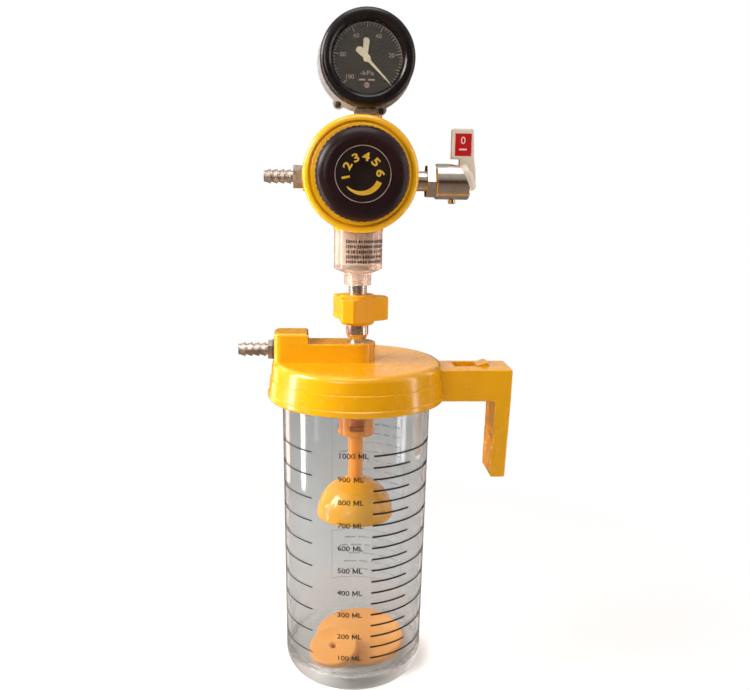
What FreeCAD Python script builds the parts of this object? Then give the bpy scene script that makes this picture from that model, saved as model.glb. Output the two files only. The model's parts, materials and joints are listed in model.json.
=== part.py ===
import FreeCAD, Part
import os
import re

import Sketcher
from FreeCAD import Placement, Rotation, Vector

# Ward suction unit: a graduated collection jar with a screw lid, a union with a
# wing nut, a filter cup, a diaphragm vacuum regulator with its hand knob, an
# on/off cock and a dial gauge.
# Frame: millimetres, +Z up, -Y is the front that the user faces, +X to the
# user's right. The origin is the centre of the jar's foot, on the floor.

doc = FreeCAD.newDocument("suction_unit")

# ---------------------------------------------------------------- sizes

SIZES = {
    # jar
    "jar_foot_radius": 30.2,
    "jar_corner": 16.0,
    "jar_low_radius": 46.2,
    "jar_shoulder_radius": 48.75,
    "jar_wall": 2.0,
    "jar_floor": 11.0,
    "jar_recess": 8.0,
    "neck_radius": 52.0,
    "neck_wall": 2.5,
    "neck_bottom": 197.0,
    "jar_height": 212.0,
    "gasket_thick": 2.5,
    # loose pieces on the jar's floor
    "disc_radius": 31.0,
    "disc_thick": 5.0,
    "puck_radius": 16.0,
    "puck_thick": 7.0,
    # lid
    "lid_bottom": 194.0,
    "lid_inner_radius": 53.0,
    "lid_lip_radius": 58.3,
    "lid_top_radius": 55.6,
    "lid_seam": 207.6,
    "lid_top": 218.5,
    "lid_round": 4.0,
    "duct_half_width": 12.0,
    "duct_reach": 54.0,
    "duct_corner": 5.0,
    "duct_top": 230.5,
    "tower_end": 32.0,
    "tower_top": 237.3,
    "lid_port_height": 225.0,
    "inlet_offset": 43.0,
    # hanging hook
    "hook_top": 214.7,
    "hook_under": 193.3,
    "hook_reach": 101.5,
    "hook_depth": 30.0,
    "leg_inner": 90.6,
    "leg_taper": 1.2,
    "leg_foot": 141.4,
    "leg_thick": 9.6,
    "slot_start": 64.5,
    "slot_end": 88.0,
    "slot_front": 4.0,
    "slot_back": 10.0,
    "slot_depth": 3.0,
    # float valve
    "cage_radius": 12.2,
    "cage_inner": 9.2,
    "cage_bottom": 168.0,
    "window_bottom": 172.4,
    "window_height": 8.0,
    "window_width": 9.0,
    "stem_radius": 5.0,
    "stem_top": 201.0,
    "stem_foot": 130.0,
    "collar_radius": 8.0,
    "dome_radius": 25.7,
    "dome_base": 112.0,
    # union between the lid and the regulator head
    "connector_radius": 7.3,
    "connector_waist": 4.7,
    "spigot_radius": 6.5,
    "spigot_bottom": 222.5,
    "connector_top": 252.0,
    "cone_top": 236.0,
    "flow_bore": 2.5,
    "nut_bottom": 242.4,
    "nut_top": 261.6,
    "nut_hub": 11.4,
    "nut_bore": 9.0,
    "nut_shoulder": 257.0,
    "lobe_tip": 19.8,
    "nipple_radius": 5.9,
    "nipple_top": 274.0,
    # filter cup
    "neck_foot": 268.2,
    "cup_neck_radius": 8.7,
    "cup_radius": 15.5,
    "cup_inner": 13.2,
    "cup_cone": 275.7,
    "cup_side": 278.8,
    "cup_top": 303.0,
    "cup_spigot": 14.6,
    "cup_rim": 309.0,
    "element_radius": 10.5,
    "element_core": 5.5,
    # regulator, measured along its own axis from the port plane
    "regulator_height": 338.0,
    "cock_drop": 3.6,
    "body_radius": 34.0,
    "body_rear": 18.0,
    "body_front": 18.6,
    "ring_thread": 33.2,
    "ring_radius": 35.6,
    "ring_front": 24.0,
    "ring_rear": 16.1,
    "side_boss": 35.5,
    "barb_drop": 2.0,
    "top_boss": 36.0,
    "chamber_radius": 27.0,
    "rear_bore": 6.4,
    "port_radius": 4.9,
    "housing_radius": 14.0,
    "housing_bore": 11.0,
    "housing_end": 39.4,
    "screw_hole": 4.2,
    "screw_radius": 3.9,
    # knob
    "knob_radius": 28.0,
    "knob_rear": 28.3,
    "knob_front": 47.5,
    "knob_round": 7.2,
    "knob_cavity": 23.2,
    "knob_plate": 43.5,
    "cap_radius": 16.6,
    # hose barbs
    "barb_bore": 2.0,
    "barb_high": 4.6,
    "barb_low": 3.5,
    # on/off cock, measured from the regulator's axis
    "cock_start": 48.3,
    "cock_end": 69.8,
    "cock_radius": 11.2,
    "cock_nut_start": 42.5,
    "slant_start": 62.5,
    "slant_angle": 25.0,
    "pivot_height": 2.0,
    "lever_gap": 0.3,
    "lever_hub": 9.0,
    "lever_hub_thick": 5.3,
    "lever_thick": 6.0,
    "arm_left": 63.5,
    "paddle_left": 58.2,
    "paddle_right": 72.0,
    "paddle_bottom": 14.1,
    "paddle_top": 33.0,
    # gauge, measured along its own axis from the stem
    "gauge_height": 407.0,
    "gauge_offset": 3.6,
    "flange_radius": 30.4,
    "dial_screw_drop": 15.3,
    "case_radius": 27.0,
    "case_rear": 12.0,
    "case_front": 12.0,
    "bezel_radius": 28.8,
    "bezel_rear": 5.0,
    "bezel_front": 19.0,
    "bezel_opening": 20.9,
    "lens_radius": 25.5,
    "dial_radius": 24.4,
    "dial_place": 6.4,
    "pointer_length": 19.5,
    "stem_square": 14.2,
    "bourdon_radius": 18.5,
    "sector_drop": 13.0,
    "sector_radius": 11.2,
    "pinion_radius": 1.6,
}

KNOB_GROOVES = 48
CAGE_WINDOWS = 4
NUT_LOBES = 3
NUT_TURN = 130.0
FILTER_PLEATS = 20
POINTER_REST = -135.0
FRONT = Rotation(Vector(1, 0, 0), 90)
LEFT = Rotation(Vector(0, 1, 0), -90)
RIGHT = Rotation(Vector(0, 1, 0), 90)
UPRIGHT = Rotation()

sheet = doc.addObject("Spreadsheet::Sheet", "Sizes")
for row, (alias, number) in enumerate(SIZES.items(), start=1):
    sheet.set("A%d" % row, alias)
    sheet.set("B%d" % row, str(number))
    sheet.setAlias("B%d" % row, alias)
doc.recompute()


# ---------------------------------------------------------------- helpers

def sized(expression):
    """Point every size name in an expression at the sheet."""
    def link(match):
        word = match.group(0)
        return "Sizes." + word if word in SIZES else word
    return re.sub(r"[a-z_]+", link, str(expression))


def value(expression):
    return float(sheet.evalExpression(sized(expression)))


def new_body(label, x="0", y="0", z="0", turn=UPRIGHT):
    body = doc.addObject("PartDesign::Body", label + "_body")
    body.Label = label
    body.Placement = Placement(Vector(value(x), value(y), value(z)), turn)
    for axis, place in (("x", x), ("y", y), ("z", z)):
        body.setExpression("Placement.Base." + axis, sized(place))
    return body


def origin_feature(body, role):
    return next(item for item in body.Origin.OriginFeatures if item.Role == role)


def new_sketch(body, name, plane, rise):
    sketch = body.newObject("Sketcher::SketchObject", body.Label + "_" + name)
    sketch.AttachmentSupport = [(origin_feature(body, plane), "")]
    sketch.MapMode = "FlatFace"
    sketch.setExpression("AttachmentOffset.Base.z", sized(rise))
    return sketch


def bind(sketch, kind, first, expression):
    """Add a dimension whose number comes from the sheet."""
    index = sketch.addConstraint(Sketcher.Constraint(kind, *first, value(expression)))
    sketch.setExpression("Constraints[%d]" % index, sized(expression))


def arc_centre(start, end, radius, bend):
    """Centre of an arc shorter than a half turn; bend 1 turns left, -1 right."""
    chord = end - start
    across = Vector(-chord.y, chord.x, 0).normalize()
    reach = max(radius ** 2 - (chord.Length / 2) ** 2, 0) ** 0.5
    return (start + end) * 0.5 + across * reach * bend


def add_edge(sketch, start, end, arc):
    """Draw one edge and return the point numbers of its start and end."""
    if arc is None:
        sketch.addGeometry(Part.LineSegment(start, end))
        return 1, 2
    radius, bend = value(arc[0]), arc[1]
    centre = arc_centre(start, end, radius, bend)
    crown = centre + ((start + end) * 0.5 - centre).normalize() * radius
    sketch.addGeometry(Part.ArcOfCircle(start, crown, end))
    return (1, 2) if bend > 0 else (2, 1)


def outline(body, name, points, plane="XZ_Plane", rise="0"):
    """Closed outline; a point is (across, up) or (across, up, radius, bend) after an arc."""
    sketch = new_sketch(body, name, plane, rise)
    places = [Vector(value(point[0]), value(point[1]), 0) for point in points]
    ends = []
    for index, point in enumerate(points):
        arc = point[2:] if len(point) > 2 else None
        ends.append(add_edge(sketch, places[index - 1], places[index], arc))
    for index, point in enumerate(points):
        follower = (index + 1) % len(points)
        finish = (index, ends[index][1])
        sketch.addConstraint(Sketcher.Constraint("Coincident", *finish, follower, ends[follower][0]))
        bind(sketch, "DistanceX", (-1, 1) + finish, point[0])
        bind(sketch, "DistanceY", (-1, 1) + finish, point[1])
        if len(point) > 2:
            bind(sketch, "Radius", (index,), point[2])
    return sketch


def round_sketch(body, name, radius, plane="XY_Plane", rise="0", centre=("0", "0")):
    sketch = new_sketch(body, name, plane, rise)
    middle = Vector(value(centre[0]), value(centre[1]), 0)
    sketch.addGeometry(Part.Circle(middle, Vector(0, 0, 1), value(radius)))
    bind(sketch, "Radius", (0,), radius)
    bind(sketch, "DistanceX", (-1, 1, 0, 3), centre[0])
    bind(sketch, "DistanceY", (-1, 1, 0, 3), centre[1])
    return sketch


def revolve(body, sketch, kind="Revolution", axis="V_Axis", angle=360):
    feature = body.newObject("PartDesign::" + kind, sketch.Name + "_turned")
    feature.Profile = sketch
    feature.ReferenceAxis = (sketch, [axis])
    feature.Angle = angle
    return feature


def extrude(body, sketch, length, kind="Pad", both_ways=False, reverse=False):
    """Pad along the plane's normal or pocket against it, unless reversed."""
    feature = body.newObject("PartDesign::" + kind, sketch.Name + "_" + kind.lower())
    feature.Profile = sketch
    feature.setExpression("Length", sized(length))
    feature.SideType = "Symmetric" if both_ways else "One side"
    feature.Reversed = reverse
    return feature


def pattern(body, feature, count):
    ring = body.newObject("PartDesign::PolarPattern", feature.Name + "_ring")
    ring.Originals = [feature]
    ring.Axis = (origin_feature(body, "Z_Axis"), [""])
    ring.Occurrences = count
    body.Tip = ring
    return ring


def soften(body, size, keep, kind="Fillet"):
    """Round or chamfer the edges of the body so far that the test keeps."""
    doc.recompute()
    base = body.Tip
    names = []
    for index, edge in enumerate(base.Shape.Edges, start=1):
        if keep(edge.BoundBox):
            names.append("Edge%d" % index)
    feature = body.newObject("PartDesign::" + kind, base.Name + "_soft")
    feature.Base = (base, names)
    setattr(feature, "Radius" if kind == "Fillet" else "Size", size)
    return feature


def flat_at(height):
    """Test for an edge that lies level at a height in the body's own frame."""
    level = value(height)
    return lambda box: abs(box.ZMin - level) < 0.01 and abs(box.ZMax - level) < 0.01


def axis_distance(box):
    """Distance of a bounding box's middle from the body's own Z axis."""
    return (box.Center.x ** 2 + box.Center.y ** 2) ** 0.5


def turned(label, points, x="0", y="0", z="0", turn=UPRIGHT):
    """A body of revolution about its own Z axis, from points of (radius, height)."""
    body = new_body(label, x, y, z, turn)
    revolve(body, outline(body, "outline", points))
    return body


def ring_points(inner, outer, low, high):
    return [(inner, low), (outer, low), (outer, high), (inner, high)]


def rectangle(left, right, low, high):
    return [(left, low), (right, low), (right, high), (left, high)]


def spun(across, up, angle):
    """A point of an outline turned about the origin, as expressions."""
    return ("(%s) * cos(%g) - (%s) * sin(%g)" % (across, angle, up, angle),
            "(%s) * sin(%g) + (%s) * cos(%g)" % (across, angle, up, angle))


def hexagon(across_flats, turn=0):
    corner = "(%s) / 2 / cos(30)" % across_flats
    return [spun(corner, "0", turn + 60 * side) for side in range(6)]


def coil_spring(label, radius, wire, low, high, turns):
    """Round wire coiled about the regulator's axis between two heights of its centre line."""
    body = new_body(label, z="regulator_height", turn=FRONT)
    section = round_sketch(body, "wire", wire, "XZ_Plane", centre=(radius, low))
    coil = body.newObject("PartDesign::AdditiveHelix", label + "_coil")
    coil.Profile = section
    coil.ReferenceAxis = (section, ["V_Axis"])
    coil.Mode = "height-turns-angle"
    coil.setExpression("Height", sized("%s - (%s)" % (high, low)))
    coil.Turns = turns


# ---------------------------------------------------------------- jar and loose pieces

def make_jar():
    inner_corner = 12
    turned("jar", [
        ("0", "jar_recess"),
        ("jar_foot_radius - 3.2", "jar_recess"),
        ("jar_foot_radius - 1.7", "0"),
        ("jar_foot_radius", "0"),
        ("jar_low_radius", "jar_corner", "jar_corner", 1),
        ("jar_shoulder_radius", "neck_bottom - 3.5"),
        ("neck_radius", "neck_bottom"),
        ("neck_radius", "jar_height - 1"),
        ("neck_radius - 1", "jar_height", "1", 1),
        ("neck_radius - neck_wall", "jar_height"),
        ("neck_radius - neck_wall", "neck_bottom + 2"),
        ("jar_shoulder_radius - jar_wall", "neck_bottom - 1.5"),
        ("jar_low_radius - jar_wall", "jar_floor + %d" % inner_corner),
        ("jar_low_radius - jar_wall - %d" % inner_corner, "jar_floor", str(inner_corner), -1),
        ("0", "jar_floor"),
    ])


def make_splash_disc():
    """Shallow domed disc lying loose and tilted on the jar's floor."""
    turned("splash_disc", [
        ("0", "0"),
        ("disc_radius - 1", "0"),
        ("disc_radius", "1", "1", 1),
        ("disc_radius", "disc_thick - 2"),
        ("disc_radius - 2", "disc_thick", "2", 1),
        ("0", "disc_thick + 1.5"),
    ], "5", "6", "jar_floor + 3.2", Rotation(Vector(1, 0, 0), 5))


def make_float_stop():
    """Round cap with a screw hole that leans on the loose disc."""
    lean = Rotation(Vector(1, -0.35, 0), 20)
    turned("float_stop", [
        ("1.6", "0"),
        ("puck_radius - 1.5", "0"),
        ("puck_radius", "1.5", "1.5", 1),
        ("puck_radius", "puck_thick - 1.5"),
        ("puck_radius - 1.5", "puck_thick", "1.5", 1),
        ("2.8", "puck_thick"),
        ("1.6", "puck_thick - 1.6"),
    ], "-13.5", "-18.5", "jar_floor + 7.6", lean)


def make_jar_gasket():
    turned("jar_gasket", ring_points("neck_radius - neck_wall - 0.2", "neck_radius + 0.4",
                                     "jar_height", "jar_height + gasket_thick"))


# ---------------------------------------------------------------- lid

def skirt_points():
    """Outer face of the lid's skirt, from its bottom edge to its flat top."""
    return [
        ("lid_lip_radius - 0.7", "lid_bottom"),
        ("lid_lip_radius", "lid_bottom + 1"),
        ("lid_lip_radius", "lid_bottom + 3.6"),
        ("lid_lip_radius - 0.7", "lid_bottom + 4.2"),
        ("lid_top_radius + 1.2", "lid_seam - 0.4"),
        ("lid_top_radius + 0.5", "lid_seam"),
        ("lid_top_radius + 0.5", "lid_seam + 0.4"),
        ("lid_top_radius", "lid_top - lid_round"),
        ("lid_top_radius - lid_round", "lid_top", "lid_round", 1),
    ]


def duct_outline(inner_end):
    """Plan of the raised duct from its rounded left end to a square end."""
    return [
        (inner_end, "-duct_half_width"),
        ("duct_corner - duct_reach", "-duct_half_width"),
        ("-duct_reach", "duct_corner - duct_half_width", "duct_corner", -1),
        ("-duct_reach", "duct_half_width - duct_corner"),
        ("duct_corner - duct_reach", "duct_half_width", "duct_corner", -1),
        (inner_end, "duct_half_width"),
    ]


def make_lid():
    ceiling = "jar_height + gasket_thick"
    body = new_body("lid")
    shell = [("0", ceiling), ("lid_inner_radius", ceiling), ("lid_inner_radius", "lid_bottom")]
    revolve(body, outline(body, "shell", shell + skirt_points() + [("0", "lid_top")]))
    base = "lid_top - 3"
    duct = outline(body, "duct", duct_outline("0"), "XY_Plane", base)
    extrude(body, duct, "duct_top - lid_top + 3")
    boss = round_sketch(body, "boss", "duct_half_width", rise=base)
    extrude(body, boss, "duct_top - lid_top + 3")
    tower = outline(body, "tower", duct_outline("-tower_end"), "XY_Plane", base)
    extrude(body, tower, "tower_top - lid_top + 3")
    soften(body, 2.0, flat_at("tower_top"))
    soften(body, 1.0, lambda box: abs(box.ZMin - value("duct_top")) < 0.01 and box.ZLength < 0.01)
    connector_seat = round_sketch(body, "seat", "spigot_radius", rise="duct_top")
    extrude(body, connector_seat, "duct_top - spigot_bottom + 1", "Pocket")
    port = round_sketch(body, "port", "4", rise="spigot_bottom")
    extrude(body, port, "spigot_bottom - jar_height", "Pocket")
    side = round_sketch(body, "inlet", "4", "YZ_Plane", "-duct_reach", ("0", "lid_port_height"))
    extrude(body, side, "duct_reach - inlet_offset + 3", "Pocket", reverse=True)
    drop = round_sketch(body, "drop", "3.5", rise="lid_port_height", centre=("-inlet_offset", "0"))
    extrude(body, drop, "lid_port_height - jar_height", "Pocket")


def make_hook():
    """Arm and leg that hang the unit on a rail; the root follows the skirt."""
    body = new_body("hanging_hook")
    side = outline(body, "side", [
        ("46", "hook_under"),
        ("leg_inner", "hook_under"),
        ("leg_inner - leg_taper", "leg_foot"),
        ("leg_inner - leg_taper + leg_thick", "leg_foot"),
        ("hook_reach - 0.4", "hook_under"),
        ("hook_reach", "hook_top"),
        ("46", "hook_top"),
    ])
    extrude(body, side, "hook_depth", both_ways=True)
    soften(body, 1.2, lambda box: box.XMin > value("hook_reach") - 14 or box.XLength > 30)
    slot = outline(body, "slot", rectangle("slot_start", "slot_end", "-slot_front", "slot_back"),
                   "XY_Plane", "hook_top")
    extrude(body, slot, "slot_depth", "Pocket")
    core = [("0", "lid_bottom - 6"), ("lid_lip_radius - 0.7", "lid_bottom - 6")]
    revolve(body, outline(body, "root", core + skirt_points() + [("0", "lid_top")]), "Groove")


def make_hook_latch():
    """Thumb slide in the slot on top of the arm."""
    body = new_body("hook_latch", y="(slot_back - slot_front) / 2")
    side = outline(body, "side", [
        ("slot_end - 8.7", "hook_top - slot_depth + 0.3"),
        ("slot_end - 0.7", "hook_top - slot_depth + 0.3"),
        ("slot_end - 0.7", "hook_top + 2.2"),
        ("slot_end - 2.7", "hook_top + 2.2"),
        ("slot_end - 7.2", "hook_top + 0.6"),
        ("slot_end - 8.7", "hook_top + 0.6"),
    ])
    extrude(body, side, "slot_back + slot_front - 0.6", both_ways=True)


# ---------------------------------------------------------------- float valve

def make_float_cage():
    body = turned("float_cage", [
        ("stem_radius + 0.3", "cage_bottom"),
        ("cage_radius - 1", "cage_bottom"),
        ("cage_radius", "cage_bottom + 1", "1", 1),
        ("cage_radius", "jar_height + gasket_thick"),
        ("cage_inner", "jar_height + gasket_thick"),
        ("cage_inner", "cage_bottom + 3"),
        ("stem_radius + 0.3", "cage_bottom + 3"),
    ])
    half = "window_width / 2"
    window = outline(body, "window", rectangle("-" + half, half, "window_bottom",
                                               "window_bottom + window_height"))
    cut = extrude(body, window, "cage_radius + 2", "Pocket", reverse=True)
    pattern(body, cut, CAGE_WINDOWS)


def make_float_stem():
    """Guide rod with the collar that hangs it in the cage."""
    turned("float_stem", [
        ("0", "stem_foot"),
        ("stem_radius", "stem_foot"),
        ("stem_radius", "cage_bottom + 3.3"),
        ("collar_radius", "cage_bottom + 3.3"),
        ("collar_radius", "cage_bottom + 5.8"),
        ("stem_radius", "cage_bottom + 5.8"),
        ("stem_radius", "stem_top"),
        ("0", "stem_top"),
    ])


def make_float_dome():
    shoulder = "dome_base + sqrt(dome_radius ^ 2 - stem_radius ^ 2)"
    turned("float_dome", [
        ("0", "dome_base - 0.5"),
        ("dome_radius - 0.5", "dome_base - 0.5"),
        ("dome_radius", "dome_base", "0.5", 1),
        ("stem_radius", shoulder, "dome_radius", 1),
        ("stem_radius", "stem_foot"),
        ("0", "stem_foot"),
    ])


def make_float_seal():
    turned("float_seal", [("0", "stem_top"), ("6.5", "stem_top"), ("6.5", "stem_top + 3"),
                          ("0", "stem_top + 3")])


# ---------------------------------------------------------------- hose barbs

def barb_points(nut_end, tip, ridges, spigot, depth):
    """Threaded spigot, root collar and tapered ridges, along the barb's own axis."""
    points = [("barb_bore", "-%s" % depth), (spigot, "-%s" % depth), (spigot, "0"),
              ("barb_high", "0"), ("barb_high", nut_end), ("barb_low", nut_end)]
    pitch = "((%s) - (%s) - 1.5) / %d" % (tip, nut_end, ridges)
    for ridge in range(ridges):
        start = "%s + 1.5 + %d * %s" % (nut_end, ridge, pitch)
        points.append(("barb_low", start))
        points.append(("barb_high", start))
        points.append(("barb_low", "%s + 0.8 * %s" % (start, pitch)))
    return points + [("barb_low", tip), ("barb_bore", tip)]


def make_barb(label, nut_start, nut_end, across_flats, tip, spigot, x, z):
    """Hose barb that points to the left, with a hexagon at its root."""
    body = turned(label, barb_points(nut_end, tip, 4, spigot, "8"), x=x, z=z, turn=LEFT)
    nut = outline(body, "nut", hexagon(across_flats), "XY_Plane", nut_start)
    extrude(body, nut, "%s - %s" % (nut_end, nut_start))
    bore = round_sketch(body, "bore", "barb_bore", rise=tip)
    extrude(body, bore, "(%s) + 10" % tip, "Pocket")


def make_lid_barb():
    make_barb("lid_hose_barb", "1", "4", "11", "23.2", "4", "-duct_reach", "lid_port_height")
    turned("lid_barb_seal", ring_points("barb_high", "6.6", "0", "1"),
           x="-duct_reach", z="lid_port_height", turn=LEFT)


def make_regulator_barb():
    make_barb("regulator_hose_barb", "0", "6", "12.5", "24.4", "port_radius", "-side_boss",
              "regulator_height - barb_drop")


# ---------------------------------------------------------------- union

def make_lower_connector():
    turned("lower_connector", [
        ("flow_bore", "spigot_bottom"),
        ("spigot_radius", "spigot_bottom"),
        ("spigot_radius", "duct_top"),
        ("connector_waist", "duct_top"),
        ("connector_radius", "cone_top"),
        ("connector_radius", "connector_top - 0.8"),
        ("connector_radius - 0.8", "connector_top"),
        ("flow_bore", "connector_top"),
    ])
    turned("connector_seal", ring_points("flow_bore + 1.7", "spigot_radius",
                                         "spigot_bottom - 1", "spigot_bottom"))


def make_wing_nut():
    """Hand nut with three blunt lobes round a hollow hub."""
    body = turned("wing_nut", [
        ("0", "nut_bottom"),
        ("nut_bore + 1.2", "nut_bottom"),
        ("nut_hub", "nut_bottom + 2"),
        ("nut_hub", "nut_top - 0.8"),
        ("nut_hub - 0.8", "nut_top"),
        ("0", "nut_top"),
    ], turn=Rotation(Vector(0, 0, 1), NUT_TURN))
    lobe = outline(body, "lobe", [
        ("5", "-9.2"),
        ("lobe_tip - 1.8", "-5.2"),
        ("lobe_tip", "-3.4"),
        ("lobe_tip", "3.4"),
        ("lobe_tip - 1.8", "5.2"),
        ("5", "9.2"),
    ], "XY_Plane", "nut_bottom + 2.6")
    pattern(body, extrude(body, lobe, "nut_top - nut_bottom - 4"), NUT_LOBES)
    soften(body, 1.0, lambda box: box.DiagonalLength < 8 and axis_distance(box) > 15)
    hollow = outline(body, "hollow", [
        ("0", "nut_bottom - 1"),
        ("nut_bore", "nut_bottom - 1"),
        ("nut_bore", "nut_shoulder"),
        ("nipple_radius + 0.4", "nut_shoulder"),
        ("nipple_radius + 0.4", "nut_top + 1"),
        ("0", "nut_top + 1"),
    ])
    revolve(body, hollow, "Groove")


def make_union_parts():
    turned("nut_insert", ring_points("connector_radius + 0.3", "nut_bore",
                                     "nut_bottom + 0.2", "connector_top"))
    turned("slip_ring", ring_points("nipple_radius + 0.3", "nut_bore - 0.3",
                                    "connector_top + 3.6", "nut_shoulder - 0.1"))
    turned("union_seal", ring_points("flow_bore", "connector_radius - 0.5",
                                     "connector_top", "connector_top + 0.8"))
    turned("upper_nipple", [
        ("flow_bore", "connector_top + 0.8"),
        ("connector_radius", "connector_top + 0.8"),
        ("connector_radius", "connector_top + 3.4"),
        ("nipple_radius", "connector_top + 3.4"),
        ("nipple_radius", "nipple_top"),
        ("flow_bore", "nipple_top"),
    ])


# ---------------------------------------------------------------- filter cup

def make_filter_bowl():
    turned("filter_bowl", [
        ("nipple_radius", "neck_foot"),
        ("cup_neck_radius", "neck_foot"),
        ("cup_neck_radius", "cup_cone"),
        ("cup_radius - 1", "cup_side - 0.6"),
        ("cup_radius", "cup_side + 0.4", "1.2", 1),
        ("cup_radius", "cup_top"),
        ("cup_spigot", "cup_top"),
        ("cup_spigot", "cup_rim"),
        ("cup_inner", "cup_rim"),
        ("cup_inner", "cup_side + 3"),
        ("nipple_radius - 1.6", "cup_cone + 1.8"),
        ("nipple_radius - 1.6", "nipple_top"),
        ("nipple_radius", "nipple_top"),
    ])
    turned("filter_seal", ring_points("cup_inner", "cup_spigot", "cup_rim", "cup_rim + 1"))


def make_filter_element():
    """Pleated paper ring."""
    body = new_body("filter_element")
    points = []
    for pleat in range(FILTER_PLEATS):
        angle = pleat * 360 / FILTER_PLEATS
        points.append(spun("element_radius", "0", angle))
        points.append(spun("element_radius - 2", "0", angle + 180 / FILTER_PLEATS))
    star = outline(body, "pleats", points, "XY_Plane", "cup_side + 4")
    extrude(body, star, "cup_rim - cup_side - 4")
    core = round_sketch(body, "core", "element_core", rise="cup_rim")
    extrude(body, core, "cup_rim - cup_side", "Pocket")


# ---------------------------------------------------------------- regulator

def front_turned(label, points):
    """A body of revolution about the regulator's axis, heights toward the user."""
    return turned(label, points, z="regulator_height", turn=FRONT)


def make_regulator_body():
    body = front_turned("regulator_body", [
        ("0", "-body_rear"),
        ("body_radius - 5", "-body_rear"),
        ("body_radius", "5 - body_rear", "5", 1),
        ("body_radius", "ring_rear"),
        ("ring_thread", "ring_rear"),
        ("ring_thread", "body_front"),
        ("0", "body_front"),
    ])
    left = round_sketch(body, "left_boss", "9", "YZ_Plane", centre=("-barb_drop", "0"))
    extrude(body, left, "side_boss", reverse=True)
    right = round_sketch(body, "right_boss", "9", "YZ_Plane", centre=("-cock_drop", "0"))
    extrude(body, right, "side_boss")
    top = round_sketch(body, "top_boss", "10.5", "XZ_Plane", centre=("gauge_offset", "0"))
    extrude(body, top, "top_boss", reverse=True)
    bottom = round_sketch(body, "cup_boss", "cup_radius + 0.4", "XZ_Plane")
    extrude(body, bottom, "regulator_height - cup_top")
    valve_bore = outline(body, "valve_bore", [
        ("0", "-body_rear - 1"),
        ("rear_bore", "-body_rear - 1"),
        ("rear_bore", "-2"),
        ("2.3", "-2"),
        ("2.3", "body_front - 6"),
        ("chamber_radius", "body_front - 6"),
        ("chamber_radius", "body_front + 1"),
        ("0", "body_front + 1"),
    ])
    revolve(body, valve_bore, "Groove")
    port = round_sketch(body, "left_port", "port_radius", "YZ_Plane", "-side_boss",
                        ("-barb_drop", "0"))
    extrude(body, port, "side_boss - rear_bore", "Pocket", reverse=True)
    port = round_sketch(body, "right_port", "port_radius", "YZ_Plane", "side_boss",
                        ("-cock_drop", "0"))
    extrude(body, port, "side_boss - rear_bore", "Pocket")
    port = round_sketch(body, "gauge_port", "6", "XZ_Plane", "-top_boss", ("gauge_offset", "0"))
    extrude(body, port, "12", "Pocket", reverse=True)
    port = round_sketch(body, "cup_socket", "cup_spigot", "XZ_Plane", "regulator_height - cup_top")
    extrude(body, port, "cup_rim + 1 - cup_top", "Pocket")
    port = round_sketch(body, "cup_port", "4", "XZ_Plane", "regulator_height - cup_top")
    extrude(body, port, "regulator_height - cup_top - rear_bore", "Pocket")


def make_clamp_ring():
    front_turned("clamp_ring", [
        ("ring_thread", "ring_rear"),
        ("ring_radius - 0.8", "ring_rear"),
        ("ring_radius", "ring_rear + 0.8"),
        ("ring_radius", "ring_front - 3.2"),
        ("ring_radius - 3.2", "ring_front", "3.2", 1),
        ("ring_thread - 1.3", "ring_front"),
        ("ring_thread - 1.3", "body_front + 4.2"),
        ("ring_thread", "body_front + 4.2"),
    ])


def make_spring_bell():
    flange = "body_front + 1.2"
    front_turned("spring_bell", [
        ("housing_bore", "body_front + 3.4"),
        ("chamber_radius", "body_front + 3.4"),
        ("chamber_radius", flange),
        ("ring_thread", flange),
        ("ring_thread", "body_front + 4.2"),
        ("30.6", "body_front + 4.2"),
        ("30.6", "body_front + 4.6"),
        ("30", "body_front + 5.2", "0.6", 1),
        ("housing_radius + 1.5", "body_front + 6.6"),
        ("housing_radius", "body_front + 8.1", "1.5", -1),
        ("housing_radius", "housing_end - 1"),
        ("housing_radius - 1", "housing_end", "1", 1),
        ("screw_hole", "housing_end"),
        ("screw_hole", "housing_end - 3"),
        ("housing_bore", "housing_end - 3"),
    ])


def make_diaphragm():
    front_turned("diaphragm", [
        ("0", "body_front"),
        ("18.5", "body_front"),
        ("20", "body_front - 2.5"),
        ("23.5", "body_front - 2.5"),
        ("25", "body_front"),
        ("ring_thread", "body_front"),
        ("ring_thread", "body_front + 1.2"),
        ("24.3", "body_front + 1.2"),
        ("22.8", "body_front - 1.3"),
        ("20.7", "body_front - 1.3"),
        ("19.2", "body_front + 1.2"),
        ("0", "body_front + 1.2"),
    ])
    front_turned("diaphragm_plate", [
        ("0", "body_front + 1.2"),
        ("15", "body_front + 1.2"),
        ("15", "body_front + 2.7"),
        ("6.4", "body_front + 2.7"),
        ("6.4", "body_front + 4.2"),
        ("0", "body_front + 4.2"),
    ])


def make_regulator_springs():
    coil_spring("control_spring", "8.2", "0.8", "body_front + 3.5", "housing_end - 7.2", 4.5)
    coil_spring("poppet_spring", "4", "0.5", "-13", "-5.5", 3.5)


def make_poppet():
    front_turned("poppet", [
        ("0", "-5"), ("5", "-5"), ("5", "-2.2"), ("1.7", "-2.2"),
        ("1.7", "body_front - 0.3"), ("0", "body_front - 0.3"),
    ])
    body = front_turned("poppet_cap", ring_points("0", "rear_bore", "-body_rear", "-13.5"))
    head = outline(body, "head", hexagon("16"), "XY_Plane", "-body_rear - 4")
    extrude(body, head, "4")
    soften(body, 0.8, flat_at("-body_rear - 4"))


def make_spring_button():
    low = "housing_end - 6.4"
    front_turned("spring_button", [
        ("0", low),
        ("9.3", low),
        ("9.3", "housing_end - 3.4"),
        ("2.8", "housing_end - 3.4"),
        ("2.8", "housing_end - 4.4"),
        ("0", "housing_end - 4.4"),
    ])


# ---------------------------------------------------------------- knob

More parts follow.
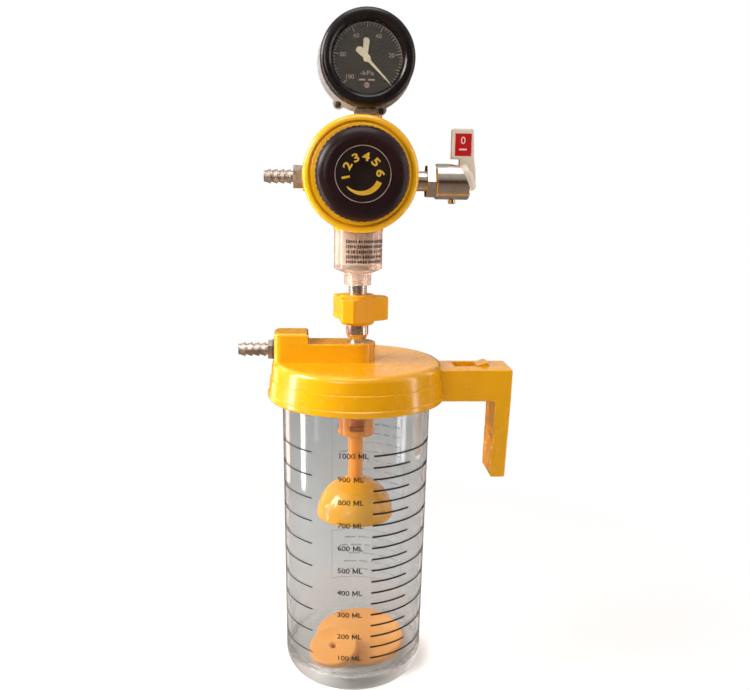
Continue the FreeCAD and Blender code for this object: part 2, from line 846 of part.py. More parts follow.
def make_knob():
    body = front_turned("knob", [
        ("screw_radius", "knob_plate - 0.6"),
        ("7", "knob_plate - 0.6"),
        ("7", "knob_plate"),
        ("knob_cavity - 2", "knob_plate"),
        ("knob_cavity", "knob_plate - 2", "2", -1),
        ("knob_cavity", "knob_rear"),
        ("knob_radius - 0.8", "knob_rear"),
        ("knob_radius", "knob_rear + 0.8", "0.8", 1),
        ("knob_radius", "knob_front - knob_round"),
        ("knob_radius - knob_round", "knob_front", "knob_round", 1),
        ("cap_radius", "knob_front"),
        ("cap_radius", "knob_front - 0.9"),
        ("screw_radius", "knob_front - 0.9"),
    ])
    groove = round_sketch(body, "groove", "0.8", rise="knob_rear - 1",
                          centre=("knob_radius + 0.25", "0"))
    cut = extrude(body, groove, "knob_front - knob_rear", "Pocket", reverse=True)
    pattern(body, cut, KNOB_GROOVES)


def make_knob_cap():
    low = "knob_front - 0.9"
    front_turned("knob_cap", [
        ("0", low),
        ("cap_radius", low),
        ("cap_radius", "knob_front + 0.3"),
        ("cap_radius - 0.7", "knob_front + 0.3"),
        ("cap_radius - 0.7", "knob_front - 0.1"),
        ("7.2", "knob_front - 0.1"),
        ("7.2", "knob_front - 0.5"),
        ("0", "knob_front - 0.5"),
    ])


def make_adjusting_screw():
    tip = "housing_end - 4.2"
    front_turned("adjusting_screw", [
        ("0", tip),
        ("2.5", tip),
        ("2.5", "housing_end - 3.1"),
        ("screw_radius", "housing_end - 3.1"),
        ("screw_radius", "knob_front - 1"),
        ("0", "knob_front - 1"),
    ])


# ---------------------------------------------------------------- on/off cock

COCK_HEIGHT = "regulator_height - cock_drop"


def side_turned(label, points):
    """A body of revolution about the cock's X axis, from points of (x, radius)."""
    body = new_body(label, z=COCK_HEIGHT)
    revolve(body, outline(body, "outline", points), axis="H_Axis")
    return body


def slant_x(height, gap="0"):
    """Place of the slanted face at a height above the cock's axis."""
    return ("slant_start + (cock_radius - (%s)) * tan(slant_angle) + (%s) / cos(slant_angle)"
            % (height, gap))


def slant_seat(depth):
    """Placement on the slanted face at the lever's pivot, its Z along the pivot."""
    middle = Vector(value(slant_x("pivot_height")), 0, value(COCK_HEIGHT + " + pivot_height"))
    turn = Rotation(Vector(0, 1, 0), 90 - value("slant_angle"))
    return Placement(middle + turn.multVec(Vector(0, 0, depth)), turn)


def pivot_cylinder(name, radius, start, length):
    cylinder = doc.addObject("Part::Cylinder", name)
    cylinder.Radius = radius
    cylinder.Height = length
    cylinder.Placement = slant_seat(start)
    return cylinder


def cross_pin(name):
    """Pin across the lever's hub and the plug's stem, along Y."""
    length = 2 * value("lever_hub") - 0.8
    pin = doc.addObject("Part::Cylinder", name)
    pin.Radius = 1
    pin.Height = length
    middle = slant_seat(1.9).Base
    pin.Placement = Placement(middle + Vector(0, length / 2, 0), FRONT)
    return pin


def join(kind, name, base, tool):
    result = doc.addObject("Part::" + kind, name + "_solid")
    result.Base = base
    result.Tool = tool
    result.Label = name
    return result


def make_cock_nipple():
    side_turned("cock_nipple", [
        ("side_boss - 8", "3"),
        ("side_boss - 8", "port_radius"),
        ("side_boss", "port_radius"),
        ("side_boss", "6.25"),
        ("cock_nut_start", "6.25"),
        ("cock_nut_start", "5.5"),
        ("cock_start", "5.5"),
        ("cock_start", "3"),
    ])
    body = new_body("cock_nut", x="cock_nut_start", z=COCK_HEIGHT, turn=RIGHT)
    nut = outline(body, "hex", hexagon("19.8", 30), "XY_Plane")
    extrude(body, nut, "cock_start - cock_nut_start")
    soften(body, 0.6, lambda box: box.ZLength < 0.01)
    bore = round_sketch(body, "bore", "5.5", rise="cock_start - cock_nut_start")
    extrude(body, bore, "cock_start - cock_nut_start", "Pocket")


def make_cock_body():
    body = side_turned("cock_casting", [
        ("cock_start", "3"),
        ("cock_start", "cock_radius - 0.8"),
        ("cock_start + 0.8", "cock_radius"),
        ("cock_end - 0.6", "cock_radius"),
        ("cock_end", "cock_radius - 0.6"),
        ("cock_end", "0"),
        ("cock_start + 9", "0"),
        ("cock_start + 9", "3"),
    ])
    slant = outline(body, "slant", [
        ("slant_start - 6.2", "cock_radius + 0.05"),
        (slant_x("cock_radius - 1.1"), "cock_radius - 1.1"),
        (slant_x("-8"), "-8"),
        ("cock_end + 6", "-8"),
        ("cock_end + 6", "cock_radius + 0.05"),
    ])
    extrude(body, slant, "30", "Pocket", both_ways=True)
    vent = round_sketch(body, "vent", "1.6", rise="-cock_radius - 1", centre=("cock_start + 11.2", "0"))
    extrude(body, vent, "5", "Pocket", reverse=True)
    join("Cut", "cock_body", body, pivot_cylinder("plug_bore", 4.2, -7, 12))
    turned("cock_vent_tip", [
        ("0.8", "-cock_radius - 2.8"),
        ("1.6", "-cock_radius - 2.8"),
        ("2.4", "-cock_radius - 2"),
        ("2.4", "-cock_radius"),
        ("1.6", "-cock_radius"),
        ("1.6", "-cock_radius + 3"),
        ("0.8", "-cock_radius + 3"),
    ], x="cock_start + 11.2", z=COCK_HEIGHT)


def make_cock_lever():
    """Round hub on the slanted face with a flat arm and paddle standing up from it."""
    arm = new_body("lever_arm", z=COCK_HEIGHT)
    gap = "lever_gap"
    side = outline(arm, "side", [
        ("arm_left", "paddle_bottom"),
        (slant_x("cock_radius - 1.5", gap), "cock_radius - 1.5"),
        (slant_x("-3", gap), "-3"),
        ("cock_end + 4", "-3"),
        ("cock_end + 4.4", "0"),
        ("cock_end + 4.1", "7.5"),
        ("paddle_right + 0.8", "paddle_bottom"),
        ("paddle_right", "paddle_top - 1.5"),
        ("paddle_right - 1.5", "paddle_top", "1.5", 1),
        ("paddle_left + 1.5", "paddle_top"),
        ("paddle_left", "paddle_top - 1.5", "1.5", 1),
        ("paddle_left", "paddle_bottom"),
    ])
    extrude(arm, side, "lever_thick", both_ways=True)
    soften(arm, 0.8, lambda box: abs(abs(box.Center.y) - 3) < 0.01)
    recess = outline(arm, "recess", label_edges("0"), rise="lever_thick / 2")
    extrude(arm, recess, "0.5", "Pocket")
    hub = turned("lever_hub_disc", [
        ("0", "lever_gap"),
        ("lever_hub", "lever_gap"),
        ("lever_hub", "lever_hub_thick - 2.5"),
        ("lever_hub - 2.5", "lever_hub_thick", "2.5", 1),
        ("0", "lever_hub_thick"),
    ])
    for axis in "xyz":
        hub.setExpression("Placement.Base." + axis, None)
    hub.Placement = slant_seat(0)
    whole = join("Fuse", "lever_blank", arm, hub)
    bored = join("Cut", "lever_bored", whole, pivot_cylinder("stem_hole", 3.0, -1, 4.6))
    join("Cut", "cock_lever", bored, cross_pin("lever_pin_hole"))


def label_edges(gap):
    """Edges of the inlay on the paddle's front face, drawn in by a gap."""
    return rectangle("paddle_left + 2 + " + gap, "paddle_right - 1.4 - " + gap,
                     "paddle_bottom + 2 + " + gap, "paddle_top - 3 - " + gap)


def make_lever_fittings():
    label = new_body("lever_label", z=COCK_HEIGHT)
    plate = outline(label, "plate", label_edges("0.1"), rise="lever_thick / 2 - 0.5")
    extrude(label, plate, "0.6")
    plug = pivot_cylinder("plug_barrel", 4.0, -6.8, 6.8)
    stem = pivot_cylinder("plug_stem", 3.0, -0.2, 3.8)
    solid = join("Fuse", "plug_blank", plug, stem)
    join("Cut", "cock_plug", solid, cross_pin("plug_pin_hole"))
    pin = cross_pin("lever_pin_rod")
    pin.Label = "lever_pin"


# ---------------------------------------------------------------- gauge

def gauge_turned(label, points):
    """A body of revolution about the gauge's axis, heights toward the user."""
    return turned(label, points, x="gauge_offset", z="gauge_height", turn=FRONT)


def make_gauge_socket():
    """Threaded stem, square wrench block and the block inside the case."""
    top = "regulator_height + top_boss"
    body = turned("gauge_socket", ring_points("0", "6", "%s - 12" % top, top), x="gauge_offset")
    wide = "stem_square / 2"
    block = outline(body, "wrench", rectangle("-" + wide, wide, "-7", "7"), "XY_Plane", top)
    extrude(body, block, "gauge_height - bezel_radius - 0.3 - (%s)" % top)
    inner = outline(body, "inner", rectangle("-6", "6", "-4.5", "4.5"), "XY_Plane", top)
    extrude(body, inner, "gauge_height - sector_drop - 4 - (%s)" % top)
    bore = round_sketch(body, "bore", "1.5", rise="%s - 12" % top)
    extrude(body, bore, "24", "Pocket", reverse=True)


def make_gauge_case():
    body = gauge_turned("gauge_case", [
        ("0", "-case_rear"),
        ("case_radius - 1", "-case_rear"),
        ("case_radius", "1 - case_rear", "1", 1),
        ("case_radius", "case_front"),
        ("lens_radius - 0.7", "case_front"),
        ("lens_radius - 0.7", "case_front - 1"),
        ("case_radius - 1", "case_front - 1"),
        ("case_radius - 1", "1 - case_rear"),
        ("0", "1 - case_rear"),
    ])
    door = outline(body, "stem_hole", rectangle("-6", "6", "-4.5", "4.5"), "XZ_Plane", "20")
    extrude(body, door, "10", "Pocket", reverse=True)


def make_gauge_flange():
    """Steel back plate with two fixing ears."""
    body = gauge_turned("gauge_flange", ring_points("0", "flange_radius", "-case_rear - 1.4",
                                                    "-case_rear"))
    for number, angle in enumerate((-124, -70)):
        ear = round_sketch(body, "ear_%d" % number, "3.8", rise="-case_rear - 1.4",
                           centre=spun("flange_radius - 0.6", "0", angle))
        extrude(body, ear, "1.4")
        hole = round_sketch(body, "ear_hole_%d" % number, "1.6", rise="-case_rear",
                            centre=spun("flange_radius + 0.4", "0", angle))
        extrude(body, hole, "2", "Pocket")


def make_gauge_bezel():
    gauge_turned("gauge_bezel", [
        ("case_radius", "bezel_rear"),
        ("bezel_radius - 0.6", "bezel_rear"),
        ("bezel_radius", "bezel_rear + 0.6"),
        ("bezel_radius", "bezel_front - 3.5"),
        ("bezel_radius - 3.5", "bezel_front", "3.5", 1),
        ("bezel_opening + 2.4", "bezel_front"),
        ("bezel_opening + 1.4", "bezel_front - 0.8"),
        ("bezel_opening", "case_front + 2"),
        ("lens_radius", "case_front + 2"),
        ("lens_radius", "case_front"),
        ("case_radius", "case_front"),
    ])


def make_gauge_window():
    gauge_turned("gauge_lens", ring_points("0", "lens_radius", "case_front + 0.6", "case_front + 2"))
    gauge_turned("lens_seal", ring_points("lens_radius - 2", "lens_radius", "case_front",
                                          "case_front + 0.6"))


def make_gauge_dial():
    low = "dial_place"
    body = gauge_turned("gauge_dial", ring_points("1.6", "dial_radius", low, "dial_place + 0.8"))
    hole = round_sketch(body, "screw_hole", "0.9", rise="dial_place + 0.8", centre=("0", "-dial_screw_drop"))
    extrude(body, hole, "2", "Pocket")
    turned("dial_screw", [
        ("0", "dial_place - 4"), ("0.9", "dial_place - 4"), ("0.9", "dial_place + 0.8"),
        ("1.7", "dial_place + 0.8"), ("1.7", "dial_place + 1.4"), ("0", "dial_place + 1.8"),
    ], x="gauge_offset", z="gauge_height - dial_screw_drop", turn=FRONT)


def make_gauge_pointer():
    """Needle along its own Y axis with a forked tail, turned to the zero mark."""
    place = "dial_place + 2.2"
    turn = FRONT * Rotation(Vector(0, 0, 1), POINTER_REST)
    body = new_body("gauge_pointer", "gauge_offset", z="gauge_height", turn=turn)
    blade = outline(body, "blade", [
        ("0.9", "1.8"), ("0.25", "pointer_length"), ("-0.25", "pointer_length"), ("-0.9", "1.8"),
        ("-2.3", "0", "2.4", 1), ("-2.2", "-1.8"), ("-8.4", "-6.6"), ("-6.4", "-9.8", "2.1", 1),
        ("-2.4", "-6"), ("-1.8", "-8", "2.2", 1), ("1.8", "-8", "2.2", 1), ("1.6", "-4.4"),
        ("1.1", "-2.2"), ("2.3", "0", "2.4", 1),
    ], "XY_Plane", place)
    extrude(body, blade, "0.6")
    bore = round_sketch(body, "bore", "1", rise="dial_place + 3")
    extrude(body, bore, "2", "Pocket")


def make_movement():
    """Pinion shaft, toothed quadrant blank, and the two plates that carry them."""
    gauge_turned("pinion_shaft", [
        ("0", "-4.6"), ("1", "-4.6"), ("1", "-2"), ("pinion_radius", "-2"), ("pinion_radius", "0.6"),
        ("1", "0.6"), ("1", "dial_place + 3"), ("0", "dial_place + 3"),
    ])
    sector = new_body("sector_gear", "gauge_offset", z="gauge_height - sector_drop", turn=FRONT)
    left = spun("0", "sector_radius", 26)
    right = spun("0", "sector_radius", -26)
    plate = outline(sector, "plate", [
        ("1.8", "0", "1.81", 1), right, left + ("sector_radius", 1), ("-1.8", "0"),
    ], "XY_Plane", "-1.6")
    extrude(sector, plate, "1.2")
    pivot = round_sketch(sector, "pivot", "0.9", rise="-4.6")
    extrude(sector, pivot, "7.6")
    plates = new_body("gauge_movement", "gauge_offset", z="gauge_height", turn=FRONT)
    for name, low in (("rear", "-4.6"), ("front", "1.4")):
        sheet_outline = outline(plates, name, rectangle("-5.5", "5.5", "-sector_drop - 4", "5"),
                                "XY_Plane", low)
        extrude(plates, sheet_outline, "1.4")
    for number, side in enumerate(("-4.4", "4.4")):
        post = round_sketch(plates, "post_%d" % number, "1", rise="-4.6", centre=(side, "3.6"))
        extrude(plates, post, "dial_place + 4.6")
    holes = (("shaft_hole", "1.05", "0"), ("pivot_hole", "1.05", "-sector_drop"),
             ("dial_screw_hole", "0.9", "-dial_screw_drop"))
    for name, radius, height in holes:
        hole = round_sketch(plates, name, radius, rise="4", centre=("0", height))
        extrude(plates, hole, "10", "Pocket")


def make_bourdon_tube():
    """Flattened tube bent round most of a circle, from the socket to its free end."""
    turn = FRONT * Rotation(Vector(0, 0, 1), -69)
    body = new_body("bourdon_tube", "gauge_offset", z="gauge_height", turn=turn)
    section = outline(body, "section", [
        ("bourdon_radius - 1.1", "-2.4"), ("bourdon_radius + 1.1", "-2.4", "1.15", 1),
        ("bourdon_radius + 1.1", "2.4"), ("bourdon_radius - 1.1", "2.4", "1.15", 1),
    ])
    revolve(body, section, angle=255)


# ---------------------------------------------------------------- build and export

def build():
    make_jar()
    make_splash_disc()
    make_float_stop()
    make_jar_gasket()
    make_lid()
    make_hook()
    make_hook_latch()
    make_float_cage()
    make_float_stem()
    make_float_dome()
    make_float_seal()
    make_lid_barb()
    make_regulator_barb()
    make_lower_connector()
    make_wing_nut()
    make_union_parts()
    make_filter_bowl()
    make_filter_element()
    make_regulator_body()
    make_clamp_ring()
    make_spring_bell()
    make_diaphragm()
    make_regulator_springs()
    make_poppet()
    make_spring_button()
    make_knob()
    make_knob_cap()
    make_adjusting_screw()
    make_cock_nipple()
    make_cock_body()
    make_cock_lever()
    make_lever_fittings()
    make_gauge_socket()
    make_gauge_case()
    make_gauge_flange()
    make_gauge_bezel()
    make_gauge_window()
    make_gauge_dial()
    make_gauge_pointer()
    make_movement()
    make_bourdon_tube()


HELPERS = ("cock_casting", "lever_arm", "lever_hub_disc", "lever_blank", "lever_bored", "plug_blank")


def is_part(item):
    """A finished sub-part: a body or a boolean that no other piece uses up."""
    kinds = ("PartDesign::Body", "Part::Cut", "Part::Fuse")
    if item.Label == "lever_pin":
        return True
    return item.TypeId in kinds and item.Label not in HELPERS


def check_document():
    problems = []
    for item in doc.Objects:
        if "Invalid" in item.State or "Error" in item.State:
            problems.append("%s is %s" % (item.Name, item.State))
        cuts = item.TypeId in ("PartDesign::Pocket", "PartDesign::Groove")
        if cuts and item.Shape.Volume > item.BaseFeature.Shape.Volume - 0.01:
            problems.append("%s cuts nothing" % item.Name)
        if is_part(item) and (item.Shape.isNull() or not item.Shape.isValid()):
            problems.append("%s has no valid shape" % item.Label)
    if problems:
        raise RuntimeError("; ".join(problems))


build()
doc.recompute()
check_document()
os.makedirs("parts", exist_ok=True)
for part in doc.Objects:
    if is_part(part):
        part.Shape.exportStep("parts/%s.step" % part.Label)
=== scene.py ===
"""Looks of the suction pump: materials, printed marks, floor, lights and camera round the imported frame."""

import json
import math
import random

import bmesh
import bpy
from mathutils import Matrix, Vector
from mathutils.bvhtree import BVHTree


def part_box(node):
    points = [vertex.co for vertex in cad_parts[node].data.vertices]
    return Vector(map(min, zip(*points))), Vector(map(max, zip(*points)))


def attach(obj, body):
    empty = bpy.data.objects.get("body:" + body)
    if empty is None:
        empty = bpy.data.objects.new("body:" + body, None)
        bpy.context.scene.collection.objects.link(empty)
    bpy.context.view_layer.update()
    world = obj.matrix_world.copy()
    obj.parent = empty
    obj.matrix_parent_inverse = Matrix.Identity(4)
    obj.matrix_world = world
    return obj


MM = 0.001
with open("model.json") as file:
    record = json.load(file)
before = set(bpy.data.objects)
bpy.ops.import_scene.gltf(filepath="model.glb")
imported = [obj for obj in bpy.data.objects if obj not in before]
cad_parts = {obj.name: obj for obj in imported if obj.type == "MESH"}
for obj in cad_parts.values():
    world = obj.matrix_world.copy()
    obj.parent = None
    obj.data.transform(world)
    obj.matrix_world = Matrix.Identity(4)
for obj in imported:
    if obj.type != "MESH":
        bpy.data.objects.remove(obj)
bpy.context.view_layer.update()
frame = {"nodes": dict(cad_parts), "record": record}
nodes = frame["nodes"]
scene = bpy.context.scene


# ---------------------------------------------------------------- material helpers

def start_material(name, colour, roughness, **sockets):
    """A Principled material with its fixed numbers set on the shader's own sockets."""
    material = bpy.data.materials.new(name)
    material.use_nodes = True
    shader = material.node_tree.nodes["Principled BSDF"]
    shader.inputs["Base Color"].default_value = (*colour, 1)
    shader.inputs["Roughness"].default_value = roughness
    for socket, value in sockets.items():
        shader.inputs[socket.replace("_", " ").title().replace("Ior", "IOR")].default_value = value
    return material


def place_vector(tree, stretch=(1, 1, 1)):
    """Object coordinates, stretched along one axis where the grain runs one way."""
    place = tree.nodes.new("ShaderNodeTexCoord")
    mapping = tree.nodes.new("ShaderNodeMapping")
    mapping.inputs["Scale"].default_value = stretch
    tree.links.new(place.outputs["Object"], mapping.inputs["Vector"])
    return mapping.outputs["Vector"]


def noise(tree, scale, detail, stretch=(1, 1, 1)):
    """Soft noise value, with scale in cells per metre."""
    texture = tree.nodes.new("ShaderNodeTexNoise")
    texture.inputs["Scale"].default_value = scale
    texture.inputs["Detail"].default_value = detail
    tree.links.new(place_vector(tree, stretch), texture.inputs["Vector"])
    return texture.outputs["Fac"]


def remap(tree, value, low, high, start=0.35, end=0.65):
    """Turns a noise value from start to end into low to high."""
    node = tree.nodes.new("ShaderNodeMapRange")
    node.inputs["From Min"].default_value = start
    node.inputs["From Max"].default_value = end
    node.inputs["To Min"].default_value = low
    node.inputs["To Max"].default_value = high
    tree.links.new(value, node.inputs["Value"])
    return node.outputs["Result"]


def blend_colour(tree, factor, first, second):
    """Mixes two colours, each a plain colour or another node's output."""
    mix = tree.nodes.new("ShaderNodeMix")
    mix.data_type = "RGBA"
    tree.links.new(factor, mix.inputs[0])
    for colour, socket in ((first, mix.inputs[6]), (second, mix.inputs[7])):
        if isinstance(colour, tuple):
            socket.default_value = (*colour, 1)
        else:
            tree.links.new(colour, socket)
    return mix.outputs[2]


def colour_variation(material, light, dark, scale, worn=None, worn_share=0.7):
    """Cloudy base colour, with small worn spots of a third colour where given."""
    tree = material.node_tree
    colour = blend_colour(tree, remap(tree, noise(tree, scale, 4), 0, 1), light, dark)
    if worn:
        spots = remap(tree, noise(tree, scale * 9, 6), 0, 0.7, worn_share, worn_share + 0.05)
        colour = blend_colour(tree, spots, colour, worn)
    tree.links.new(colour, tree.nodes["Principled BSDF"].inputs["Base Color"])


def rough_variation(material, low, high, scale, stretch=(1, 1, 1)):
    """Smudges and handling marks as uneven roughness."""
    tree = material.node_tree
    uneven = remap(tree, noise(tree, scale, 5, stretch), low, high)
    tree.links.new(uneven, tree.nodes["Principled BSDF"].inputs["Roughness"])


def surface_bump(material, scale, strength, distance, stretch=(1, 1, 1)):
    """Fine relief: moulding ripple, grain or turning marks."""
    tree = material.node_tree
    bump = tree.nodes.new("ShaderNodeBump")
    bump.inputs["Strength"].default_value = strength
    bump.inputs["Distance"].default_value = distance
    tree.links.new(noise(tree, scale, 4, stretch), bump.inputs["Height"])
    tree.links.new(bump.outputs["Normal"], tree.nodes["Principled BSDF"].inputs["Normal"])


def let_lamps_through(material):
    """Shadow rays pass clear plastic, so that what is inside is lit."""
    tree = material.node_tree
    path = tree.nodes.new("ShaderNodeLightPath")
    clear = tree.nodes.new("ShaderNodeBsdfTransparent")
    mix = tree.nodes.new("ShaderNodeMixShader")
    tree.links.new(path.outputs["Is Shadow Ray"], mix.inputs[0])
    tree.links.new(tree.nodes["Principled BSDF"].outputs[0], mix.inputs[1])
    tree.links.new(clear.outputs[0], mix.inputs[2])
    tree.links.new(mix.outputs[0], tree.nodes["Material Output"].inputs["Surface"])


# ---------------------------------------------------------------- materials

# Relief is given as noise cells per metre, strength, depth and, where it isn't even, its stretch.
MOULDING_RIPPLE = (180, 0.05, 0.2 * MM)
KNOB_GRAIN = (1400, 0.12, 0.06 * MM)
CAP_GRAIN = (2200, 0.2, 0.08 * MM)
WALL_RIPPLE = (24, 0.1, 1.2 * MM, (1, 1, 0.25))
GLASS_RIPPLE = (14, 0.04, 0.5 * MM)
CLEAR_IOR = 1.46


def moulded_plastic(name, light, dark, worn=None, rough=(0.16, 0.3), coat=0.4, shine=0.5,
                    relief=MOULDING_RIPPLE):
    """Glossy moulded plastic with faint colour clouds, smudges and moulding ripple."""
    material = start_material(name, light, rough[0], coat_weight=coat, coat_roughness=0.08, ior=1.5,
                              specular_ior_level=shine)
    colour_variation(material, light, dark, 45, worn)
    rough_variation(material, rough[0], rough[1], 120)
    surface_bump(material, *relief)
    return material


def yellow_plastic():
    return moulded_plastic("yellow_plastic", (0.78, 0.365, 0.002), (0.75, 0.33, 0.002), (0.84, 0.45, 0.03))


def satin_yellow():
    return moulded_plastic("satin_yellow", (0.84, 0.39, 0.002), (0.8, 0.34, 0.002), (0.88, 0.48, 0.03),
                           (0.34, 0.46), 0.0, 0.3)


def yellow_head():
    return moulded_plastic("yellow_head", (0.97, 0.5, 0.006), (0.95, 0.45, 0.003), (0.98, 0.62, 0.09),
                           (0.14, 0.26), 0.6)


def orange_plastic():
    return moulded_plastic("orange_plastic", (0.85, 0.29, 0.004), (0.78, 0.23, 0.003))


def peach_plastic():
    return moulded_plastic("peach_plastic", (0.78, 0.36, 0.09), (0.73, 0.3, 0.055), None, (0.3, 0.45), 0.1)


def cream_plastic():
    return moulded_plastic("cream_plastic", (0.83, 0.74, 0.62), (0.76, 0.65, 0.52), (0.6, 0.5, 0.4))


def red_label():
    return moulded_plastic("red_label", (0.62, 0.015, 0.02), (0.5, 0.01, 0.015), (0.75, 0.2, 0.15))


def dark_knob():
    return moulded_plastic("dark_knob", (0.024, 0.008, 0.009), (0.015, 0.005, 0.006),
                           (0.04, 0.022, 0.02), (0.26, 0.36), 0.0, 0.25, KNOB_GRAIN)


def dark_cap():
    return moulded_plastic("dark_cap", (0.018, 0.008, 0.006), (0.011, 0.005, 0.004),
                           (0.05, 0.03, 0.02), (0.35, 0.5), 0.0, 0.2, CAP_GRAIN)


def black_bezel():
    return moulded_plastic("black_bezel", (0.011, 0.006, 0.006), (0.007, 0.004, 0.004),
                           (0.04, 0.03, 0.03), (0.2, 0.32), 0.0, 0.4)


def clear_base(name, tint, rough, clearness=1.0, ripple=WALL_RIPPLE):
    """Clear plastic with soft ripples, still even in tint and haze."""
    material = start_material(name, tint, rough, transmission_weight=clearness, ior=CLEAR_IOR)
    surface_bump(material, *ripple)
    let_lamps_through(material)
    return material


def clear_plastic(name, tint, shade, rough, **base):
    """Clear moulded plastic with a faint tint, soft ripples and handling haze."""
    material = clear_base(name, tint, rough[0], **base)
    colour_variation(material, tint, shade, 30)
    rough_variation(material, rough[0], rough[1], 60)
    return material


# Heights above the jar's foot: the frosting fades out between the first two, the foot's tint by the third.
FROST_FULL = 10 * MM
FROST_NONE = 34 * MM
TINT_TOP = 90 * MM
FROST_ROUGH = 0.32
HAZE = (0.02, 0.06)
JAR_TINT = (0.692, 0.707, 0.712)
JAR_SHADE = (0.672, 0.687, 0.692)
FOOT_TINT = (0.65, 0.65, 0.635)


def clear_jar():
    """Clear jar wall, tinted a little more towards its satin moulded foot."""
    material = clear_base("clear_jar", JAR_TINT, HAZE[0])
    tree = material.node_tree
    split = tree.nodes.new("ShaderNodeSeparateXYZ")
    tree.links.new(place_vector(tree), split.inputs[0])
    depth = remap(tree, split.outputs["Z"], 1, 0, FROST_FULL, TINT_TOP)
    tint = blend_colour(tree, remap(tree, noise(tree, 30, 4), 0, 1), JAR_TINT, JAR_SHADE)
    tree.links.new(blend_colour(tree, depth, tint, FOOT_TINT),
                   tree.nodes["Principled BSDF"].inputs["Base Color"])
    frosted = remap(tree, split.outputs["Z"], FROST_ROUGH, 0, FROST_FULL, FROST_NONE)
    clear = remap(tree, noise(tree, 60, 5), *HAZE)
    total = tree.nodes.new("ShaderNodeMath")
    tree.links.new(frosted, total.inputs[0])
    tree.links.new(clear, total.inputs[1])
    tree.links.new(total.outputs[0], tree.nodes["Principled BSDF"].inputs["Roughness"])
    return material


def clear_cup():
    """Slightly milky clear plastic, warm in tint."""
    return clear_plastic("clear_cup", (0.87, 0.73, 0.63), (0.8, 0.63, 0.52), (0.08, 0.2), clearness=0.78)


def gauge_glass():
    return clear_plastic("gauge_glass", (0.97, 0.97, 0.95), (0.96, 0.96, 0.94), (0.01, 0.03),
                         ripple=GLASS_RIPPLE)


def metal(name, light, dark, rough, grain=(1, 1, 1), bump=0.06):
    """Bare or plated metal with uneven tone, fine marks along its grain and a few dull spots."""
    material = start_material(name, light, rough[0], metallic=1.0)
    colour_variation(material, light, dark, 90, tuple(0.6 * c for c in dark), 0.68)
    rough_variation(material, rough[0], rough[1], 300, grain)
    surface_bump(material, 900, bump, 0.08 * MM, grain)
    return material


def nickel():
    return metal("nickel", (0.72, 0.64, 0.56), (0.6, 0.52, 0.45), (0.14, 0.26), (6, 1, 1))


def upright_nickel():
    return metal("upright_nickel", (0.76, 0.68, 0.62), (0.62, 0.53, 0.47), (0.22, 0.36), (1, 1, 6))


def barb_metal():
    """Duller plating of the hose barbs, mottled by handling."""
    return metal("barb_metal", (0.72, 0.62, 0.54), (0.5, 0.4, 0.34), (0.3, 0.46), (3, 1, 1), 0.15)


def brass():
    return metal("brass", (0.78, 0.56, 0.26), (0.66, 0.45, 0.18), (0.2, 0.36), (1, 1, 5))


def satin_steel():
    return metal("satin_steel", (0.84, 0.84, 0.85), (0.7, 0.7, 0.71), (0.4, 0.52), (1, 7, 1))


def bright_steel():
    return metal("bright_steel", (0.68, 0.67, 0.66), (0.58, 0.57, 0.56), (0.12, 0.25), (1, 1, 5))


def dark_screw_metal():
    return metal("dark_screw_metal", (0.12, 0.1, 0.09), (0.07, 0.06, 0.055), (0.35, 0.5))


def dull_surface(name, light, dark, rough, bump_scale, bump, **sockets):
    """Rubber, paper or paint: matt, mottled and slightly grained."""
    material = start_material(name, light, rough[0], **sockets)
    colour_variation(material, light, dark, 150, tuple(min(1, 1.6 * c) for c in light), 0.7)
    rough_variation(material, rough[0], rough[1], 200)
    surface_bump(material, bump_scale, bump, 0.1 * MM)
    return material


def black_rubber():
    return dull_surface("black_rubber", (0.02, 0.02, 0.02), (0.012, 0.012, 0.012), (0.55, 0.75), 1500, 0.3)


def grey_rubber():
    return dull_surface("grey_rubber", (0.17, 0.15, 0.13), (0.12, 0.1, 0.09), (0.6, 0.8), 1800, 0.4)


def filter_paper():
    return dull_surface("filter_paper", (0.45, 0.31, 0.22), (0.34, 0.22, 0.15), (0.8, 0.95), 1200, 0.5,
                        sheen_weight=0.3)


def dial_paint():
    return dull_surface("dial_paint", (0.028, 0.016, 0.007), (0.02, 0.011, 0.004), (0.5, 0.65), 2500, 0.1,
                        specular_ior_level=0.12)


def cream_paint():
    return dull_surface("cream_paint", (0.72, 0.62, 0.44), (0.6, 0.5, 0.34), (0.4, 0.55), 2500, 0.15)


def screw_paint():
    return dull_surface("screw_paint", (0.42, 0.26, 0.18), (0.3, 0.17, 0.11), (0.35, 0.5), 2500, 0.15)


# Dark print on the jar and cup; the same dark also paints the shade in the dial screw's slot.
def dark_ink():
    return dull_surface("dark_ink", (0.008, 0.004, 0.004), (0.014, 0.008, 0.007), (0.45, 0.6), 3000, 0.15)


def pale_ink():
    return dull_surface("pale_ink", (0.42, 0.3, 0.24), (0.3, 0.21, 0.16), (0.45, 0.6), 3000, 0.15)


def white_ink():
    return dull_surface("white_ink", (0.85, 0.8, 0.75), (0.72, 0.66, 0.6), (0.4, 0.55), 3000, 0.15)


def gold_ink():
    return dull_surface("gold_ink", (0.76, 0.44, 0.04), (0.66, 0.35, 0.02), (0.35, 0.5), 3000, 0.15)


def ring_ink():
    return dull_surface("ring_ink", (0.42, 0.3, 0.24), (0.25, 0.15, 0.12), (0.3, 0.45), 3000, 0.15)


def grey_ink():
    return dull_surface("grey_ink", (0.56, 0.57, 0.62), (0.5, 0.51, 0.56), (0.5, 0.65), 3000, 0.15)


